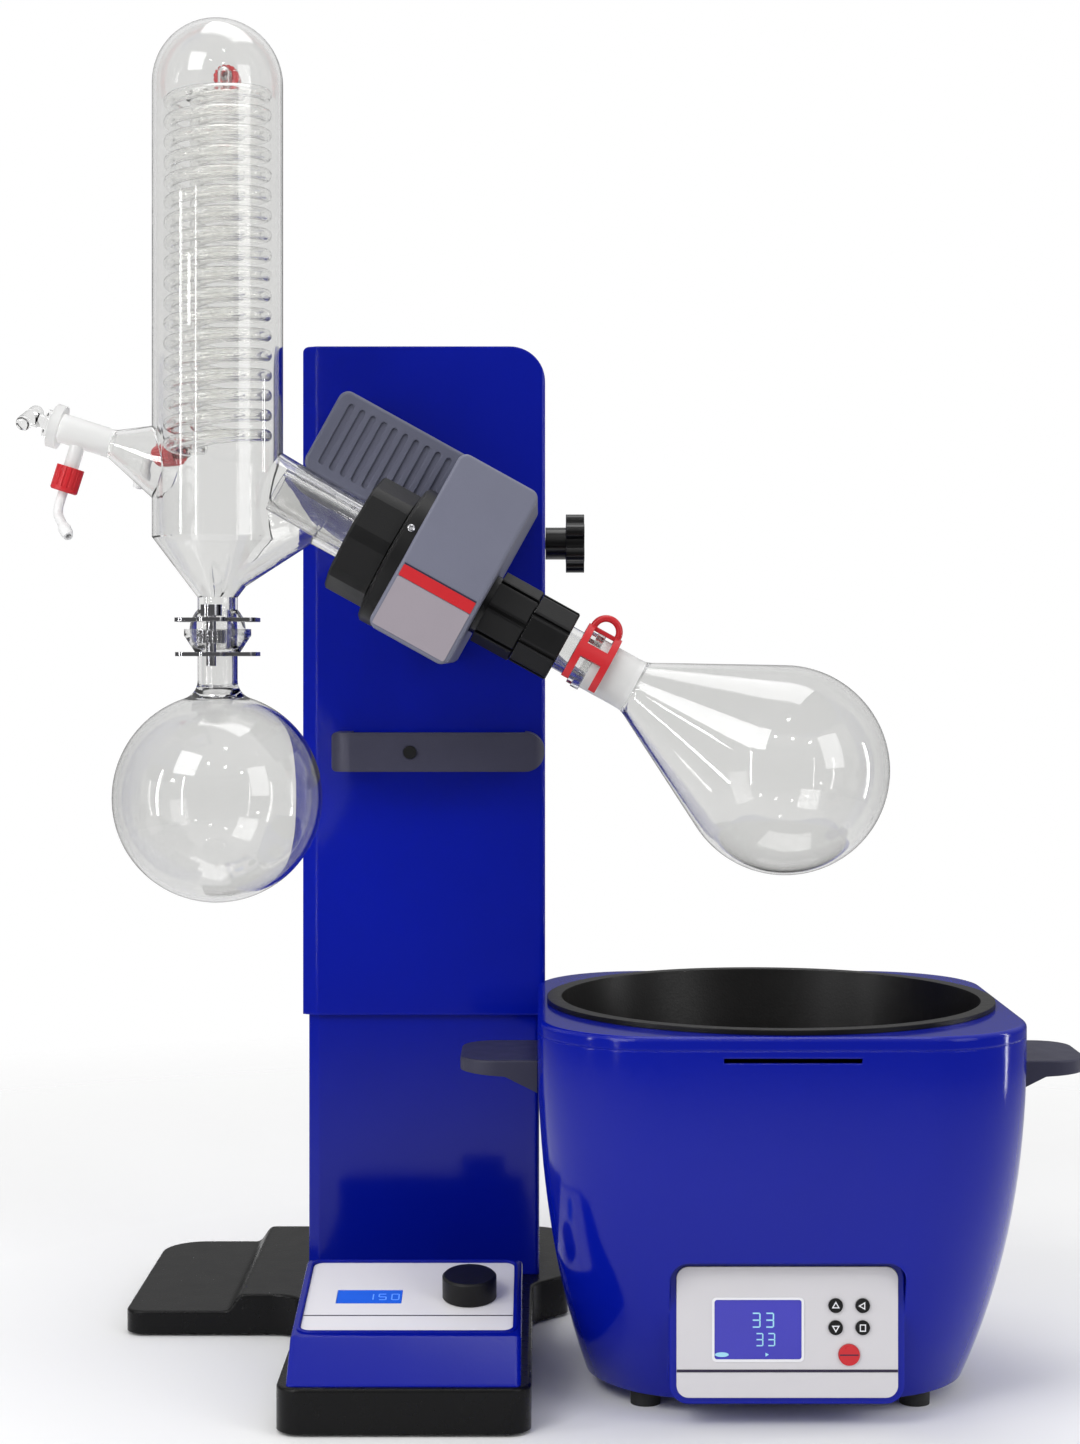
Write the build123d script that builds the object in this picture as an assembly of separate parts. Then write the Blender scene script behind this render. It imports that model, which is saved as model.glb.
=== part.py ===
from build123d import *
import math
import os

os.makedirs("parts", exist_ok=True)

# All sizes are millimetres and degrees. The bench is z = 0, +X is to the right and +Y is to the back.
# The drive axis, both flasks, the condenser and the bath share the plane y = glass_y.
glass_y = -60.0

# General clearances
running_gap = 0.05
slip_gap = 0.1
seat_gap = 0.3

# How far a cutting shape runs past the face that it cuts, and a length beyond the whole part
over = 1.0
reach = 1000.0

# Base casting
base_top = 28.0
wing_top = 17.0
base_wall = 5.0
base_edge = 2.0
base_front = -195.0
base_rear = 205.0
base_left = -279.0
base_right = 14.0
tongue_half = 74.0
tongue_corner = 14.0
left_wing_front = 13.0
left_wing_throat = 24.0
right_wing_front = 64.0
right_wing_slant = 24.0
right_wing_throat = 20.0
wing_corner = 12.0
rear_left_corner = 30.0
rear_right_corner = 25.0
wing_length = 79.0
ramp_length = 14.0
foot_radius = 9.0
foot_height = 2.0
foot_inset = 20.0
foot_boss = 2.0

# Console on the tongue
console_inset = 4.0
console_side = 6.0
console_length = 137.0
console_crease_run = 28.0
console_crease_z = 50.0
console_back_z = 68.0
console_wall = 3.0
console_edge = 3.0
panel_side = 5.0
panel_depth = 100.0
panel_corner = 6.0
panel_thick = 1.2
panel_sink = 0.5
display_width = 40.0
display_depth = 20.0
display_x = -25.0
display_drop = 0.3
knob_x = 36.0
knob_radius = 16.5
knob_height = 14.0
knob_lift = 0.4
knob_chamfer = 1.2
spindle_radius = 3.0
spindle_clear = 1.0
board_width = 104.0
board_depth = 60.0
board_thick = 1.6
board_drop = 9.0
encoder_side = 13.0
encoder_height = 5.5
post_radius = 3.5
post_inset = 6.0

# Column and lift
column_x = -84.0
sheet = 2.0
sleeve_width = 165.0
sleeve_front = 60.0
sleeve_depth = 112.0
sleeve_bottom = 205.0
sleeve_top = 659.0
sleeve_edge = 3.0
sleeve_corner = 4.0
sleeve_shoulder = 24.0
bend_width = 10.0
bend_depth = 6.0
bend_edge = 1.5
column_gap = 2.0
column_headroom = 19.0
column_floor = 4.0
lift_travel = 140.0
rod_radius = 6.0
rod_clear = 1.0
rod_spread = 50.0
rod_setback = 32.0
bush_radius = 10.5
bush_length = 28.0
bush_inset = 2.0
carriage_side = 12.0
carriage_thick = 44.0
carriage_height = 165.0
carriage_over = 39.0
spring_offset = 8.0
spring_radius = 11.0
spring_top = 240.0
spring_rod_radius = 5.0
spring_rod_overlap = 12.0
spring_rod_seat = 60.0
inlet_width = 27.0
inlet_height = 20.0
inlet_depth = 20.0
inlet_flange = 3.0
inlet_flange_thick = 2.0
inlet_z = 47.0
socket_wall = 3.0
socket_depth = 14.0
blade_width = 2.0
blade_height = 6.0
blade_pitch = 7.0
blade_length = 10.0

# Lift handle and its release button
handle_left_inset = 22.0
handle_right_inset = 0.5
handle_drop = 141.0
handle_height = 26.0
handle_reach = 38.0
handle_thick = 10.0
handle_leg = 13.0
handle_bend = 14.0
handle_corner = 4.0
button_inset = 53.1
button_radius = 4.3
button_length = 7.0
button_proud = 1.5
button_travel = 3.0

# Tilt pivot and lock
pivot_offset = 24.0
pivot_drop = 133.0
pivot_radius = 15.0
pivot_length = 52.0
pivot_flange_radius = 35.0
boss_radius = 29.0
lock_depth = 21.0
lock_neck_radius = 11.0
lock_neck_length = 14.0
lock_core_radius = 15.5
lock_lobe_radius = 5.5
lock_lobe_sink = 1.0
lock_lobes = 6
lock_head = 12.5
stud_radius = 4.0

# Drive head, in its own frame: u along the drive axis towards the flask, v up from it, y to the back
tilt_angle = 29.0
drive_reach = 62.0
drive_rise = 1.4
head_gap = 8.0
housing_start = 38.0
housing_end = 93.0
housing_low = -46.0
housing_high = 75.0
housing_front = -48.0
housing_wall = 3.0
housing_corner = 6.0
housing_edge = 2.0
cover_start = -55.5
cover_low = 21.0
cover_high = 79.0
cover_depth = 66.0
cover_wall = 3.0
cover_corner = 7.0
cover_edge = 2.5
rib_count = 10
rib_pitch = 8.0
rib_width = 4.2
rib_depth = 1.6
rib_margin = 7.0
motor_radius = 24.0
motor_length = 82.0
shaft_radius = 4.0
shaft_clear = 2.0
shaft_depth = 40.0
pulley_start = 58.0
pulley_width = 16.0
motor_pulley_radius = 9.0
driven_radius = 31.0
belt_width = 12.0
belt_thick = 2.0
belt_gap = 0.08
hub_radius = 20.0
hub_start = 32.0
hub_sink = 1.0
bearing_radius = 26.0
bearing_width = 7.0
bearing_one = 46.0
bearing_two = 80.0
bearing_boss = 4.0

# Condenser coupling
nut_length = 27.0
nut_radius = 38.0
nut_facets = 8
nut_lip = 6.0
nut_mouth_gap = 1.0
nut_chamfer = 1.5
spigot_radius = 31.0
spigot_start = 12.0
spigot_bore = 28.0
flange_start = 28.0
flange_radius = 47.0
flange_clear = 2.0
flange_chamfer = 2.0
seal_start = 13.3
seal_end = 20.0

# Flask side of the rotor
clamp_start = 97.0
clamp_end = 123.8
collar_end = 150.0
clamp_radius = 23.5
clamp_facets = 8
clamp_chamfer = 1.0
grip_width = 2.4
grip_depth = 1.4
tube_radius = 14.75
tube_gap = 0.25
tube_wall = 2.0
tube_start = -55.0
joint_start = 165.7
joint_length = 32.0
joint_big = 14.6
joint_small = 13.0
joint_gap = 0.1
ring_width = 3.2
ring_radius = 18.0
lip_radius = 19.0
lip_length = 5.3
neck_radius = 17.0
flask_radius = 66.0
flask_centre = 309.6
flask_cone_angle = 28.0
glass_wall = 2.2
neck_blend = 14.0
clip_start = 157.6
clip_end = 181.0
clip_band = 4.6
clip_thick = 2.4
clip_opening = 30.0
clip_strap_angle = 75.0
clip_ear = 8.4
clip_wire = 2.2

# Condenser
condenser_reach = 86.0
jacket_radius = 41.0
jacket_wall = 2.5
jacket_drop = 3.4
jacket_length = 285.0
cone_height = 38.0
outlet_radius = 12.5
outlet_length = 20.0
arm_rise = 17.5
arm_half_height = 60.0
arm_half_width = 34.0
arm_neck_radius = 20.0
arm_neck_bore = 16.5
arm_neck_start = -20.0
glass_flange_radius = 27.0
glass_flange_start = 7.0
glass_flange_end = 13.0
coil_gap = 4.5
coil_tube = 4.0
coil_bore = 2.8
coil_lift = 56.0
coil_headroom = 2.2
coil_turns = 18
coil_spacing = 16.0
inner_coil_tube = 3.5
inner_coil_bore = 2.4
link_radius = 3.0
port_radius = 4.75
port_bore = 3.0
port_reach = 54.0
port_rise = 17.0
upper_port_angle = 90.0
lower_port_angle = 135.0

# Ball joint and receiving flask
ball_radius = 17.5
ball_cut = 12.5
ball_bore = 9.0
cup_radius = 21.0
cup_depth = 17.0
cup_rim = 4.0
receiver_drop = 106.0
receiver_radius = 65.8
receiver_neck = 12.5
receiver_blend = 12.0
fork_half = 25.5
fork_thick = 2.6
fork_rise = 4.6
fork_drop = 17.0
fork_back = 16.0
fork_front = 37.5
fork_tongue = 9.0
fork_corner = 6.0
fork_tip = 4.0
fork_nose = 5.0
clamp_screw_y = 30.5
clamp_screw_radius = 3.0
clamp_screw_drop = 23.0
clamp_screw_rise = 15.0
clamp_head_lip = 3.5
clamp_head = 7.0
knurl_radius = 9.0
knurl_height = 8.0
knurl_notch = 1.0
knurl_lift = 0.4
knurl_teeth = 18

# Inlet valve on the condenser's left side
valve_height = 37.6
valve_angle = 17.6
flare_start = 30.0
flare_radius = 27.4
flare_end = 69.0
barrel_radius = 9.25
barrel_bore = 6.0
barrel_end = 106.0
barrel_ring_radius = 14.0
barrel_ring = 6.0
key_gap = 0.08
key_inner = 72.0
key_neck = 4.5
key_shoulder = 9.0
key_head = 4.0
key_bar_at = 124.0
key_bar_half = 13.0
key_bar_radius = 4.8
key_angle = 70.0
valve_port_at = 90.0
valve_port_end = 32.0
feed_turn = 45.0

# Hose connections
cap_radius = 8.75
cap_length = 16.0
cap_cover = 10.0
cap_wall = 3.0
cap_chamfer = 1.0
cap_grooves = 16
groove_radius = 0.9
groove_lift = 0.3
nozzle_radius = 3.0
nozzle_bore = 1.9
nozzle_flange = 4.5
nozzle_straight = 8.0
nozzle_angle = 60.0
nozzle_bend_radius = 10.0
nozzle_tail = 18.0
barb_radius = 4.0
barb_land = 4.0

# Heating bath
bath_x = 139.5
bath_floor = 10.0
bath_seam = 224.0
bath_top = 232.0
bath_width = 292.0
bath_depth = 292.0
bath_foot_width = 232.0
bath_foot_depth = 190.0
bath_corner = 72.0
bath_bulge_power = 2.2
bath_sections = 6
bath_wall = 3.0
rim_edge = 3.0
rim_ledge = 6.0
slot_width = 79.0
slot_height = 2.8
bowl_margin = 6.0
bowl_rim_thick = 3.0
bowl_lip = 9.0
bowl_taper = 19.0
bowl_floor = 118.0
bowl_wall = 2.0
bowl_blend = 22.0
heater_margin = 20.0
heater_thick = 10.0
bath_foot_radius = 9.0
bath_foot_side = 35.0
bath_foot_end = 27.0
bath_handle_top = 201.0
bath_handle_reach = 48.0
bath_handle_depth = 80.0
bath_handle_tip = 8.0
bath_handle_root = 20.0
bath_handle_step = 2.0
bath_handle_corner = 22.0
bath_handle_edge = 1.5
pad_sink = 26.0
pad_margin = 4.0
pad_root = 6.0
fascia_width = 128.5
fascia_height = 76.0
fascia_corner = 7.0
fascia_x = -1.0
fascia_z = 57.0
fascia_thick = 1.5
fascia_bore = 10.0
bath_display_width = 51.0
bath_display_height = 35.0
bath_display_x = -18.0
bath_display_z = 58.6
bath_display_thick = 4.0
key_radius = 4.15
key_columns = (27.0, 42.7)
key_rows = (72.6, 59.8)
key_length = 6.0
key_proud = 1.2
switch_radius = 6.2
switch_x = 34.8
switch_z = 44.1
switch_length = 7.0
switch_proud = 1.2
bath_inlet_z = 46.0
bath_inlet_sink = 27.0
bath_inlet_side = 6.5
bath_inlet_rise = 10.0

# Places and sizes that follow from the ones above
ramp_end = base_left + wing_length
console_front = base_front + console_inset
console_back = console_front + console_length
console_crease_y = console_front + console_crease_run
console_width = 2 * (tongue_half - console_side)
panel_width = console_width - 2 * panel_side

sleeve_left = column_x - sleeve_width / 2
sleeve_right = column_x + sleeve_width / 2
sleeve_back = sleeve_front + sleeve_depth
column_inset = sheet + column_gap
column_top = sleeve_top - lift_travel - column_headroom
rod_y = sleeve_back - rod_setback
spring_y = rod_y - spring_offset
pivot_x = column_x + pivot_offset
pivot_z = sleeve_top - pivot_drop
pivot_end = sleeve_front + pivot_length
lock_y = sleeve_front + lock_depth
carriage_top = pivot_z + carriage_over
carriage_bottom = carriage_top - carriage_height
handle_left = sleeve_left + handle_left_inset
handle_right = sleeve_right - handle_right_inset
handle_front = sleeve_front - handle_reach
handle_z = pivot_z - handle_drop
button_x = handle_left + button_inset

drive_x = pivot_x - drive_reach
drive_z = pivot_z + drive_rise
housing_back = sleeve_front - glass_y - head_gap
cover_front = housing_back - cover_depth
motor_y = (cover_front + housing_back) / 2
motor_v = (cover_low + cover_high) / 2
hub_bore = tube_radius + tube_gap
flange_bore = hub_radius + flange_clear
nut_mouth = arm_neck_radius + nut_mouth_gap
joint_end = joint_start + joint_length

condenser_x = drive_x - condenser_reach
jacket_low = drive_z - jacket_drop
jacket_high = jacket_low + jacket_length
outlet_z = jacket_low - cone_height
arm_z = jacket_low + arm_rise
valve_z = jacket_low + valve_height
coil_low = jacket_low + coil_lift
coil_height = jacket_high - coil_headroom - coil_low
coil_pitch = coil_height / coil_turns
upper_port_z = coil_low + coil_height + port_rise
coil_radius = jacket_radius - jacket_wall - coil_tube - coil_gap
inner_coil_radius = coil_radius - coil_spacing
ball_z = outlet_z - outlet_length
cup_neck_z = ball_z - cup_depth
receiver_z = ball_z - receiver_drop
fork_upper_z = ball_z + fork_rise
fork_lower_z = ball_z - fork_drop

bowl_rim = min(bath_width, bath_depth) / 2 - bowl_margin
rim_hole = bowl_rim - rim_ledge
bowl_mouth = bowl_rim - bowl_lip
bowl_base = bowl_mouth - bowl_taper
heater_radius = bowl_base - heater_margin
bath_foot_x = bath_foot_width / 2 - bath_foot_side
bath_foot_y = bath_foot_depth / 2 - bath_foot_end
pad_front = pad_sink - bath_depth / 2
pad_back = pad_root - bath_foot_depth / 2
fascia_front = pad_front - fascia_thick
bath_inlet_y = bath_depth / 2 - bath_inlet_sink

BASE = (Align.CENTER, Align.CENTER, Align.MIN)
HEAD = Location((drive_x, glass_y, drive_z), (0, tilt_angle, 0))
DRIVE = HEAD * Location((0, 0, 0), (0, 90, 0))
CONDENSER = Location((condenser_x, glass_y, 0))
BATH = Location((bath_x, glass_y, 0))


def rod(radius, low, high):
    """Upright cylinder between two heights."""
    return Pos(0, 0, low) * Cylinder(radius, high - low, align=BASE)


def pipe(radius, bore, low, high):
    """Upright tube between two heights."""
    return rod(radius, low, high) - rod(bore, low, high)


def block(low, high):
    """Box between two opposite corners."""
    size = [b - a for a, b in zip(low, high)]
    return Pos(*low) * Box(*size, align=(Align.MIN, Align.MIN, Align.MIN))


def across(x, z, radius, front, back):
    """Cylinder along Y between two depths."""
    return Location((x, back, z), (90, 0, 0)) * Cylinder(radius, back - front, align=BASE)


def sideways(y, z, radius, left, right):
    """Cylinder along X between two places."""
    return Location((left, y, z), (0, 90, 0)) * Cylinder(radius, right - left, align=BASE)


def turned(points):
    """Solid of revolution about Z through (radius, height) points."""
    return revolve(Plane.XZ * make_face(Polyline(*points, close=True)), Axis.Z)


def around(count, piece):
    """Copies of a piece spread evenly round Z."""
    return [Rot(0, 0, 360 * i / count) * piece for i in range(count)]


def near(vertices, point):
    """The vertices that lie at a flat point."""
    return [v for v in vertices if (v.center() - Vector(*point)).length < slip_gap]


def rounded(corners):
    """Flat face through (x, y, radius) corners, each corner rounded by its own radius."""
    face = make_face(Polyline(*[(x, y) for x, y, _ in corners], close=True))
    for radius in sorted({r for _, _, r in corners if r > 0}):
        picked = [v for x, y, r in corners if r == radius for v in near(face.vertices(), (x, y))]
        face = fillet(picked, radius)
    return face


def faceted(radius, sides, low, high):
    """Upright prism with flats that touch the given radius, its corners turned off slightly."""
    corner = radius / math.cos(math.pi / sides)
    prism = Pos(0, 0, low) * extrude(RegularPolygon(corner, sides), high - low)
    return prism & rod((radius + corner) / 2, low, high)


# Base


def base_plan():
    """Plan of the casting: front tongue, long left wing and short right wing."""
    left = column_x - tongue_half
    right = column_x + tongue_half
    return rounded([
        (left, base_front, tongue_corner), (right, base_front, tongue_corner),
        (right, right_wing_front - right_wing_slant, right_wing_throat),
        (base_right, right_wing_front, wing_corner),
        (base_right, base_rear, rear_right_corner), (base_left, base_rear, rear_left_corner),
        (base_left, left_wing_front, wing_corner), (left, left_wing_front, left_wing_throat)])


def base_heights(drop):
    """Everything under the casting's stepped top, lowered by drop."""
    low = wing_top - drop
    high = base_top - drop
    ramp_start = ramp_end - ramp_length
    ramp_mid = ramp_end - ramp_length / 2
    edges = [
        Line((-reach, 0), (reach, 0)), Line((reach, 0), (reach, high)), Line((reach, high), (ramp_end, high)),
        Bezier((ramp_end, high), (ramp_mid, high), (ramp_mid, low), (ramp_start, low)),
        Line((ramp_start, low), (-reach, low)), Line((-reach, low), (-reach, 0))]
    return extrude(Plane.XZ * make_face(edges), reach, both=True)


def foot_spots():
    """Where the feet stand: under the tongue's corners and the wings' corners."""
    side = tongue_half - foot_inset
    front = base_front + foot_inset
    rear = base_rear - foot_inset
    left = base_left + foot_inset
    return [
        (column_x - side, front), (column_x + side, front), (left, left_wing_front + foot_inset), (left, rear),
        (base_right - foot_inset, rear)]


def base_casting():
    """Cast base, hollow from below, with a boss over each foot."""
    plan = Pos(0, 0, foot_height) * base_plan()
    casting = extrude(plan, reach) & base_heights(0)
    seams = (ramp_end, ramp_end - ramp_length)
    inside = [
        e for e in casting.edges().filter_by(Axis.Y) if min(abs(e.center().X - x) for x in seams) < slip_gap]
    rims = [e for e in casting.edges() if e.bounding_box().min.Z > foot_height + base_edge and e not in inside]
    casting = fillet(rims, base_edge)
    hollow = extrude(offset(plan, -base_wall), reach) & base_heights(base_wall)
    bosses = [Pos(x, y, 0) * rod(foot_radius + foot_boss, foot_height, base_top) for x, y in foot_spots()]
    return casting - hollow + [boss & base_heights(base_wall / 2) for boss in bosses]


def base_feet():
    """Five rubber feet."""
    return Part() + [Pos(x, y, 0) * rod(foot_radius, 0, foot_height) for x, y in foot_spots()]


# Console


def panel_place():
    """Frame of the sloping console top, with its origin at the middle of the slope."""
    rise = console_back_z - console_crease_z
    run = console_back - console_crease_y
    middle = (column_x, (console_back + console_crease_y) / 2, (console_back_z + console_crease_z) / 2)
    return Plane(origin=middle, x_dir=(1, 0, 0), z_dir=(0, -rise, run)).location


PANEL = panel_place()


def console_wedge(profile, width):
    """Wedge from a side profile in (y, z), centred on the column."""
    side = Plane.YZ * make_face(Polyline(*profile, close=True))
    return Pos(column_x, 0, 0) * extrude(side, width / 2, both=True)


def console_shell():
    """Painted wedge cover, open below, with a recess for the fascia and posts for the board."""
    top = [(console_crease_y, console_crease_z), (console_back, console_back_z)]
    outer = console_wedge([(console_front, base_top)] + top + [(console_back, base_top)], console_width)
    outer = fillet([e for e in outer.edges() if e.center().Z > base_top + slip_gap], console_edge)
    slope = (console_crease_z - base_top) / (console_crease_y - console_front)
    front_shift = console_wall * math.sqrt(1 + slope ** 2) / slope
    back = console_back - console_wall
    rise = (console_back_z - console_crease_z) / (console_back - console_crease_y)
    low_crease = console_crease_z - console_wall * math.sqrt(1 + rise ** 2)
    crease_shift = front_shift - (console_crease_z - low_crease) / slope
    inner = console_wedge(
        [(console_front + front_shift - over / slope, base_top - over),
         (console_crease_y + crease_shift, low_crease),
         (back, low_crease + rise * (back - console_crease_y)), (back, base_top - over)],
        console_width - 2 * console_wall)
    recess = extrude(RectangleRounded(panel_width, panel_depth, panel_corner), -(panel_thick + panel_sink))
    shell = outer - inner - PANEL * recess - [PANEL * cut for cut in panel_cuts()]
    x = board_width / 2 - post_inset
    y = board_depth / 2 - post_inset
    floor = -(panel_thick + panel_sink + slip_gap)
    posts = [Pos(i, j, 0) * rod(post_radius, -board_drop, floor) for i in (-x, x) for j in (-y, y)]
    return shell + [PANEL * post for post in posts]


def panel_cuts():
    """Display window and spindle hole, through the fascia and the shell under it."""
    window = Pos(display_x, 0, 0) * Box(display_width, display_depth, 4 * console_wall)
    hole = Pos(knob_x, 0, 0) * Cylinder(spindle_radius + spindle_clear, 4 * console_wall)
    return [window, hole]


def console_panel():
    """White fascia lying in the recess, with a display window and a spindle hole."""
    low = -(panel_thick + panel_sink)
    outline = RectangleRounded(panel_width - 2 * slip_gap, panel_depth - 2 * slip_gap, panel_corner)
    return PANEL * (Pos(0, 0, low) * extrude(outline, panel_thick) - panel_cuts())


def speed_display():
    """Display module standing on the board, just below the fascia's face."""
    half = display_width / 2 - 2 * slip_gap
    depth = display_depth / 2 - 2 * slip_gap
    body = block((-half, -depth, -board_drop), (half, depth, -(panel_sink + display_drop)))
    return PANEL * Pos(display_x, 0, 0) * body


def control_board():
    """Circuit board under the posts, with the encoder that the knob's spindle turns in."""
    board = block((-board_width / 2, -board_depth / 2, -board_drop - board_thick),
                  (board_width / 2, board_depth / 2, -board_drop))
    half = encoder_side / 2
    encoder = block((-half, -half, -board_drop), (half, half, encoder_height - board_drop))
    bore = rod(spindle_radius + running_gap, -board_drop, 0)
    return PANEL * (board + Pos(knob_x, 0, 0) * encoder - Pos(knob_x, 0, 0) * bore)


def speed_knob():
    """Plain round knob with a chamfered top, on its spindle."""
    low = knob_lift - panel_sink
    knob = rod(knob_radius, low, low + knob_height)
    knob = chamfer(knob.edges().group_by(Axis.Z)[-1], knob_chamfer)
    spindle = rod(spindle_radius, seat_gap - board_drop, low + over)
    return PANEL * Pos(knob_x, 0, 0) * (knob + spindle)


# Column and lift


def sleeve_plan(inset):
    """Plan of the sleeve drawn in by inset, with the slanted strip along its left front edge."""
    left = sleeve_left + inset
    front = sleeve_front + inset
    right = sleeve_right - inset
    back = sleeve_back - inset
    slant = inset * math.hypot(bend_width, bend_depth)
    strip_x = sleeve_left + bend_width + (slant - inset * bend_width) / bend_depth
    strip_y = sleeve_front + bend_depth + (slant - inset * bend_depth) / bend_width
    return rounded([
        (left, strip_y, bend_edge), (strip_x, front, bend_edge), (right, front, sleeve_edge),
        (right, back, sleeve_edge), (left, back, sleeve_edge)])


def sleeve_solid(inset, low):
    """The sleeve's outer shape, shrunk by inset and standing from the height low."""
    left = sleeve_left + inset
    right = sleeve_right - inset
    top = sleeve_top - inset
    face = rounded([(left, low, 0), (right, low, 0), (right, top, sleeve_shoulder), (left, top, sleeve_corner)])
    return extrude(Plane.XZ * face, reach, both=True) & extrude(sleeve_plan(inset), reach)


def lift_sleeve():
    """Painted sheet sleeve, open below, with holes for the tilt pivot and the lock stud."""
    shell = sleeve_solid(0, sleeve_bottom) - sleeve_solid(sheet, sleeve_bottom - over)
    wall_end = sleeve_front + sheet + over
    pivot_hole = across(pivot_x, pivot_z, pivot_radius + seat_gap, sleeve_front - over, wall_end)
    stud_hole = sideways(lock_y, pivot_z, stud_radius + seat_gap, sleeve_right - sheet - over, reach)
    return shell - pivot_hole - stud_hole


def inner_column():
    """Fixed tube inside the sleeve with a floor, a slot for the pivot boss and one for the lock stud."""
    section = sleeve_plan(column_inset) - sleeve_plan(column_inset + sheet)
    tube = extrude(section, column_top - base_top) + extrude(sleeve_plan(column_inset), column_floor)
    tube = Pos(0, 0, base_top) * tube
    side = boss_radius + column_gap
    low = pivot_z - lift_travel - side
    boss_slot = block((pivot_x - side, sleeve_front, low),
                      (pivot_x + side, sleeve_front + column_inset + sheet + over, reach))
    stud_side = stud_radius + column_gap
    stud_low = pivot_z - lift_travel - stud_side
    stud_slot = block((sleeve_right - column_inset - sheet - over, lock_y - stud_side, stud_low),
                      (sleeve_right, lock_y + stud_side, reach))
    inlet_hole = Pos(column_x, sleeve_back - column_inset, inlet_z) * Box(
        inlet_width + 2 * slip_gap, 4 * sheet, inlet_height + 2 * slip_gap)
    return tube - boss_slot - stud_slot - inlet_hole


def rod_places():
    """The two guide rods, left and right of the column's middle."""
    return [Pos(column_x + side * rod_spread, rod_y, 0) for side in (-1, 1)]


def guide_rods():
    """Two ground rods standing on the column's floor."""
    return Part() + [place * rod(rod_radius, base_top + column_floor, column_top) for place in rod_places()]


def gas_spring_cylinder():
    """Cylinder of the gas spring that balances the lift."""
    rest_low = spring_top - spring_rod_overlap
    bore = rod(spring_rod_radius + running_gap, rest_low - lift_travel - seat_gap, spring_top)
    return Pos(column_x, spring_y, 0) * (rod(spring_radius, base_top + column_floor, spring_top) - bore)


def gas_spring_rod():
    """Rod of the gas spring, seated in the carriage."""
    return Pos(column_x, spring_y, 0) * rod(
        spring_rod_radius, spring_top - spring_rod_overlap, carriage_bottom + spring_rod_seat)


def bush_spans():
    """Heights of the lower and upper bushing on each rod."""
    low = carriage_bottom + bush_inset
    high = column_top - bush_inset - bush_length
    return [(low, low + bush_length), (high, high + bush_length)]


def carriage_block():
    """Sliding block with the bored pivot boss that reaches through the column to the sleeve."""
    half = rod_spread + carriage_side
    front = rod_y - carriage_thick / 2
    body = block((column_x - half, front, carriage_bottom),
                 (column_x + half, front + carriage_thick, carriage_top))
    body = body + across(pivot_x, pivot_z, boss_radius, sleeve_front + sheet, front)
    body = body - across(pivot_x, pivot_z, pivot_radius + running_gap, sleeve_front, pivot_end + seat_gap)
    for place in rod_places():
        body = body - place * rod(rod_radius + rod_clear, carriage_bottom, carriage_top)
        for low, high in bush_spans():
            body = body - place * rod(bush_radius, low, high)
    body = body - sideways(lock_y, pivot_z, stud_radius + slip_gap, pivot_x, reach)
    spring_bore = rod(spring_rod_radius, carriage_bottom, carriage_bottom + spring_rod_seat)
    return body - Pos(column_x, spring_y, 0) * spring_bore


def slide_bushings():
    """Four bushings, two on each rod."""
    bore = rod_radius + running_gap
    return Part() + [
        place * pipe(bush_radius, bore, low, high) for place in rod_places() for low, high in bush_spans()]


def power_socket():
    """Appliance inlet: a body with a flange, a hollow mouth and three blades, its mouth towards +Y."""
    half = inlet_width / 2
    rise = inlet_height / 2
    body = block((-half, -inlet_depth, -rise), (half, 0, rise))
    flange = block((-half - inlet_flange, 0, -rise - inlet_flange),
                   (half + inlet_flange, inlet_flange_thick, rise + inlet_flange))
    low = inlet_flange_thick - socket_depth
    mouth = block((socket_wall - half, low, socket_wall - rise),
                  (half - socket_wall, inlet_flange_thick, rise - socket_wall))
    blade = block((-blade_width / 2, low, -blade_height / 2),
                  (blade_width / 2, low + blade_length, blade_height / 2))
    return body + flange - mouth + [Pos(i * blade_pitch, 0, 0) * blade for i in (-1, 0, 1)]


def power_inlet():
    """Inlet at the foot of the column's back wall."""
    return Pos(column_x, sleeve_back - column_inset, inlet_z) * power_socket()


def lift_handle():
    """U-shaped bar on the sleeve, its right end round as seen from the front."""
    inner = handle_front + handle_thick
    plan = rounded([
        (handle_left, sleeve_front, 0), (handle_left, handle_front, handle_bend),
        (handle_right, handle_front, handle_bend / 2), (handle_right, sleeve_front, 0),
        (handle_right - handle_leg, sleeve_front, 0), (handle_right - handle_leg, inner, handle_corner),
        (handle_left + handle_leg, inner, handle_corner), (handle_left + handle_leg, sleeve_front, 0)])
    low = handle_z - handle_height / 2
    high = handle_z + handle_height / 2
    right_round = handle_height / 2 - slip_gap
    face = rounded([
        (handle_left, low, handle_corner), (handle_right, low, right_round),
        (handle_right, high, right_round), (handle_left, high, handle_corner)])
    bar = extrude(plan, reach) & extrude(Plane.XZ * face, reach, both=True)
    bore_end = handle_front + button_length - button_proud + button_travel + seat_gap
    return bar - across(button_x, handle_z, button_radius + running_gap, handle_front - over, bore_end)


def release_button():
    """Round button sunk in the handle."""
    front = handle_front - button_proud
    return across(button_x, handle_z, button_radius, front, front + button_length)


def lock_frame():
    """Frame on the sleeve's right face, with Z along the lock stud and pointing out."""
    return Location((sleeve_right, lock_y, pivot_z), (0, 90, 0))


def tilt_lock_knob():
    """Lobed hand knob on a neck."""
    low = seat_gap + lock_neck_length
    high = low + lock_head
    lobe = Pos(lock_core_radius - lock_lobe_sink, 0, 0) * rod(lock_lobe_radius, low, high)
    knob = rod(lock_neck_radius, seat_gap, low) + rod(lock_core_radius, low, high) + around(lock_lobes, lobe)
    return lock_frame() * (knob - rod(stud_radius, 0, low + lock_head / 2))


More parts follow.
